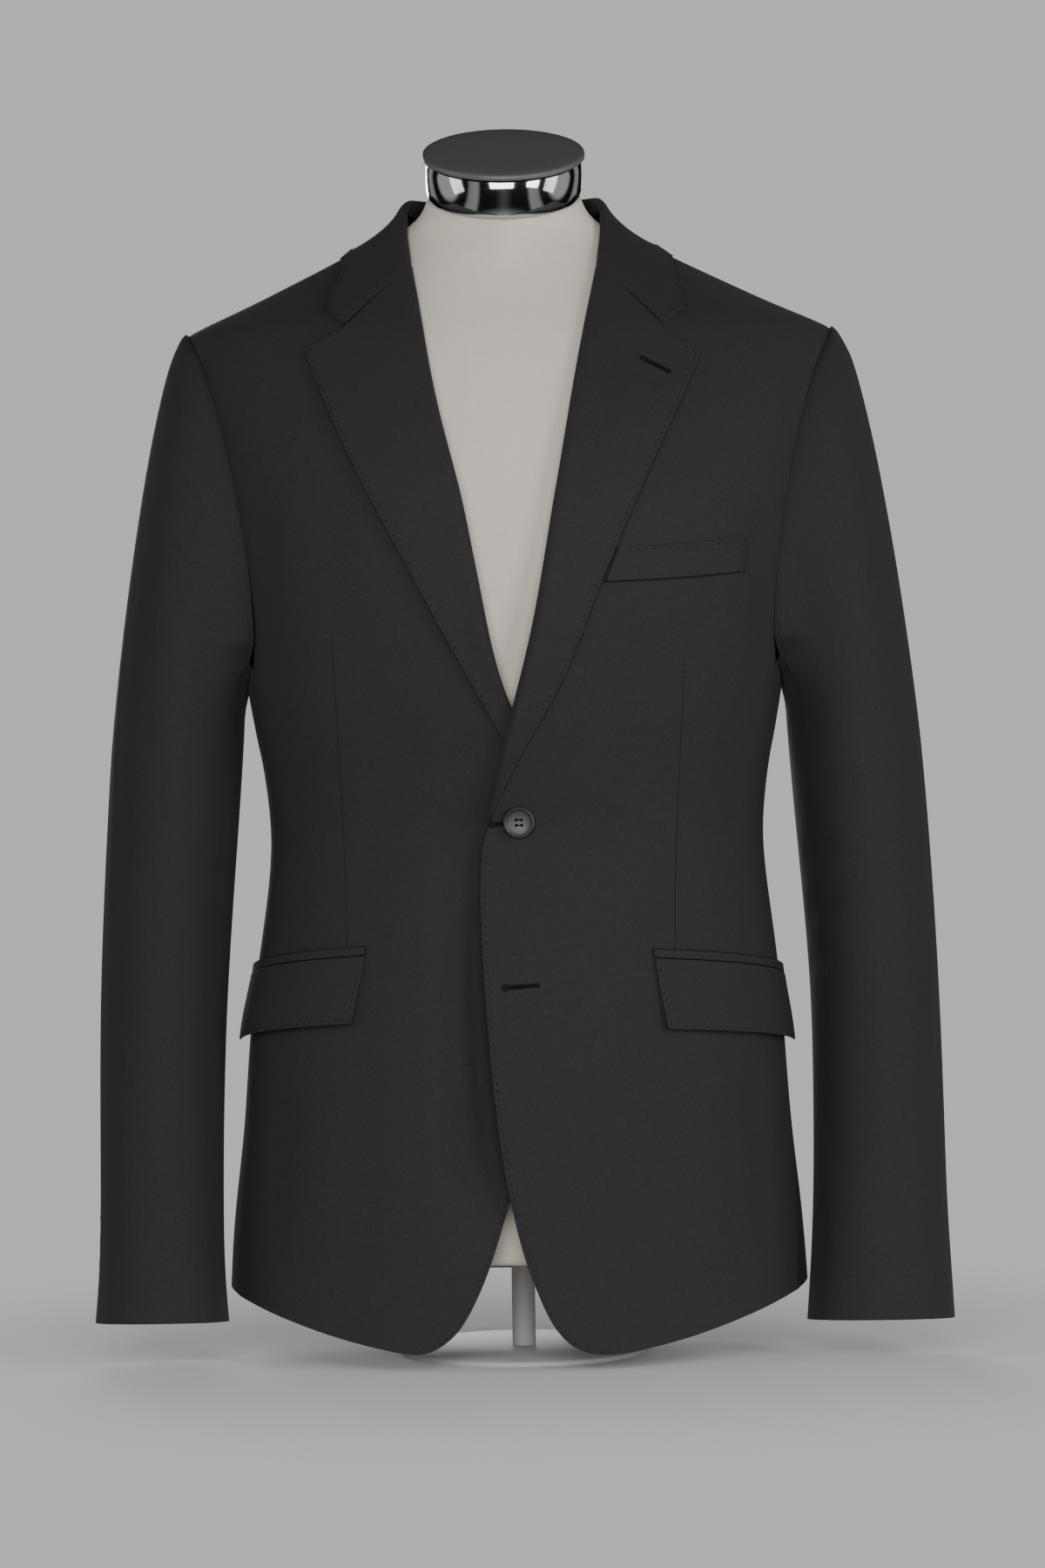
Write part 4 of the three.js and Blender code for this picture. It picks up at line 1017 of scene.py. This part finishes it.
def studioWorld():
    # Only the camera sees the plain grey backdrop. All other rays see a dimmer room, which lights the part.
    world = bpy.data.worlds.new("studio")
    bpy.context.scene.world = world
    world.use_nodes = True
    tree = world.node_tree
    seen = tree.nodes["Background"]
    seen.inputs["Color"].default_value = linearOf(studio["backdrop"])
    seen.inputs["Strength"].default_value = studio["backdropStrength"]
    # dark and pale stripes to the sides, as screens and windows, give the chrome something to mirror
    toward = addNode(tree, "ShaderNodeTexCoord")
    sides = addNode(tree, "ShaderNodeSeparateXYZ", {}, {0: toward.outputs["Generated"]})
    away = addNode(tree, "ShaderNodeMath", {"operation": "ABSOLUTE"}, {0: sides.outputs["X"]})
    screens = addNode(tree, "ShaderNodeValToRGB", {}, {"Fac": away.outputs[0]})
    stops = screens.color_ramp.elements
    stops[0].position, stops[0].color = 0.0, linearOf("#7a7a7a")
    stops[1].position, stops[1].color = 1.0, linearOf("#ffffff")
    for position, colour in ((0.2, "#303030"), (0.55, "#2a2a2a"), (0.62, "#e0e0e0"), (0.76, "#d0d0d0"),
                             (0.81, "#222222"), (0.9, "#2c2c2c"), (0.94, "#ffffff")):
        stop = stops.new(position)
        stop.color = linearOf(colour)
    room = addNode(tree, "ShaderNodeBackground", {"Strength": studio["roomStrength"]},
                   {"Color": screens.outputs["Color"]})
    path = addNode(tree, "ShaderNodeLightPath")
    both = addNode(tree, "ShaderNodeMixShader", {}, {
        0: path.outputs["Is Camera Ray"],
        1: room.outputs[0],
        2: seen.outputs[0],
    })
    tree.links.new(both.outputs[0], tree.nodes["World Output"].inputs["Surface"])


def softBox(name, place, aim, size, power):
    bpy.ops.object.light_add(type="AREA", location=place)
    lamp = bpy.context.object
    lamp.name = name
    lamp.data.shape = "RECTANGLE"
    lamp.data.size, lamp.data.size_y = size
    lamp.data.energy = power
    lamp.rotation_euler = (Vector(aim) - Vector(place)).to_track_quat("-Z", "Y").to_euler()
    return lamp


studioWorld()
softBox("left strip", (-2.3, -0.7, 0.9), (0, 0, 0.45), (0.9, 2.0), studio["sidePower"])
softBox("right strip", (2.3, -0.7, 0.9), (0, 0, 0.45), (0.9, 2.0), studio["sidePower"])
softBox("front softbox", (-0.1, -1.9, 0.66), (0, 0, 0.45), (1.2, 1.2), studio["frontPower"])
softBox("right softbox", (1.5, -1.6, 0.7), (0, 0, 0.45), (0.7, 1.2), studio["rightPower"])
softBox("back softbox", (-0.5, 2.6, 1.1), (0, 0, 0.4), (1.4, 1.2), studio["backPower"])

floorFacts = {"radius": 1.3, "tone": "#e4e4e4", "fadeFromMm": 130, "fadeToMm": 700}


def paleFloor():
    # Painted studio floor: matt and pale, going over into the backdrop further out.
    dropSelection()
    bpy.ops.mesh.primitive_circle_add(vertices=96, radius=floorFacts["radius"], fill_type="NGON",
                                      location=(0, 0, 0))
    floor = bpy.context.object
    floor.name = "floor"
    material, shader = newMaterial("floor paint, matt rolled", floorFacts["tone"], 0.9)
    tree = material.node_tree
    place = addNode(tree, "ShaderNodeTexCoord")
    far = addNode(tree, "ShaderNodeVectorMath", {"operation": "LENGTH"}, {0: place.outputs["Object"]})
    fade = addNode(tree, "ShaderNodeMapRange", {
        "interpolation_type": "SMOOTHSTEP",
        "From Min": floorFacts["fadeFromMm"] * mm,
        "From Max": floorFacts["fadeToMm"] * mm,
        "To Min": 1.0,
        "To Max": 0.0,
    }, {"Value": far.outputs["Value"]})
    tree.links.new(fade.outputs[0], shader.inputs["Alpha"])
    floor.data.materials.append(material)
    return floor


paleFloor()

camera = {"distanceMm": 3000, "heightMm": 390, "asideMm": 4.2, "rollDeg": 0.8,
          "lens": 100.0, "sensor": 36.0, "clipEnd": 50.0}
bpy.ops.object.camera_add(
    location=(camera["asideMm"] * mm, -camera["distanceMm"] * mm, camera["heightMm"] * mm),
    rotation=(math.radians(90), math.radians(camera["rollDeg"]), 0.0))
photoCamera = bpy.context.object
photoCamera.data.lens = camera["lens"]
photoCamera.data.sensor_width = camera["sensor"]
photoCamera.data.clip_end = camera["clipEnd"]
bpy.context.scene.camera = photoCamera
print("light, floor and camera set")
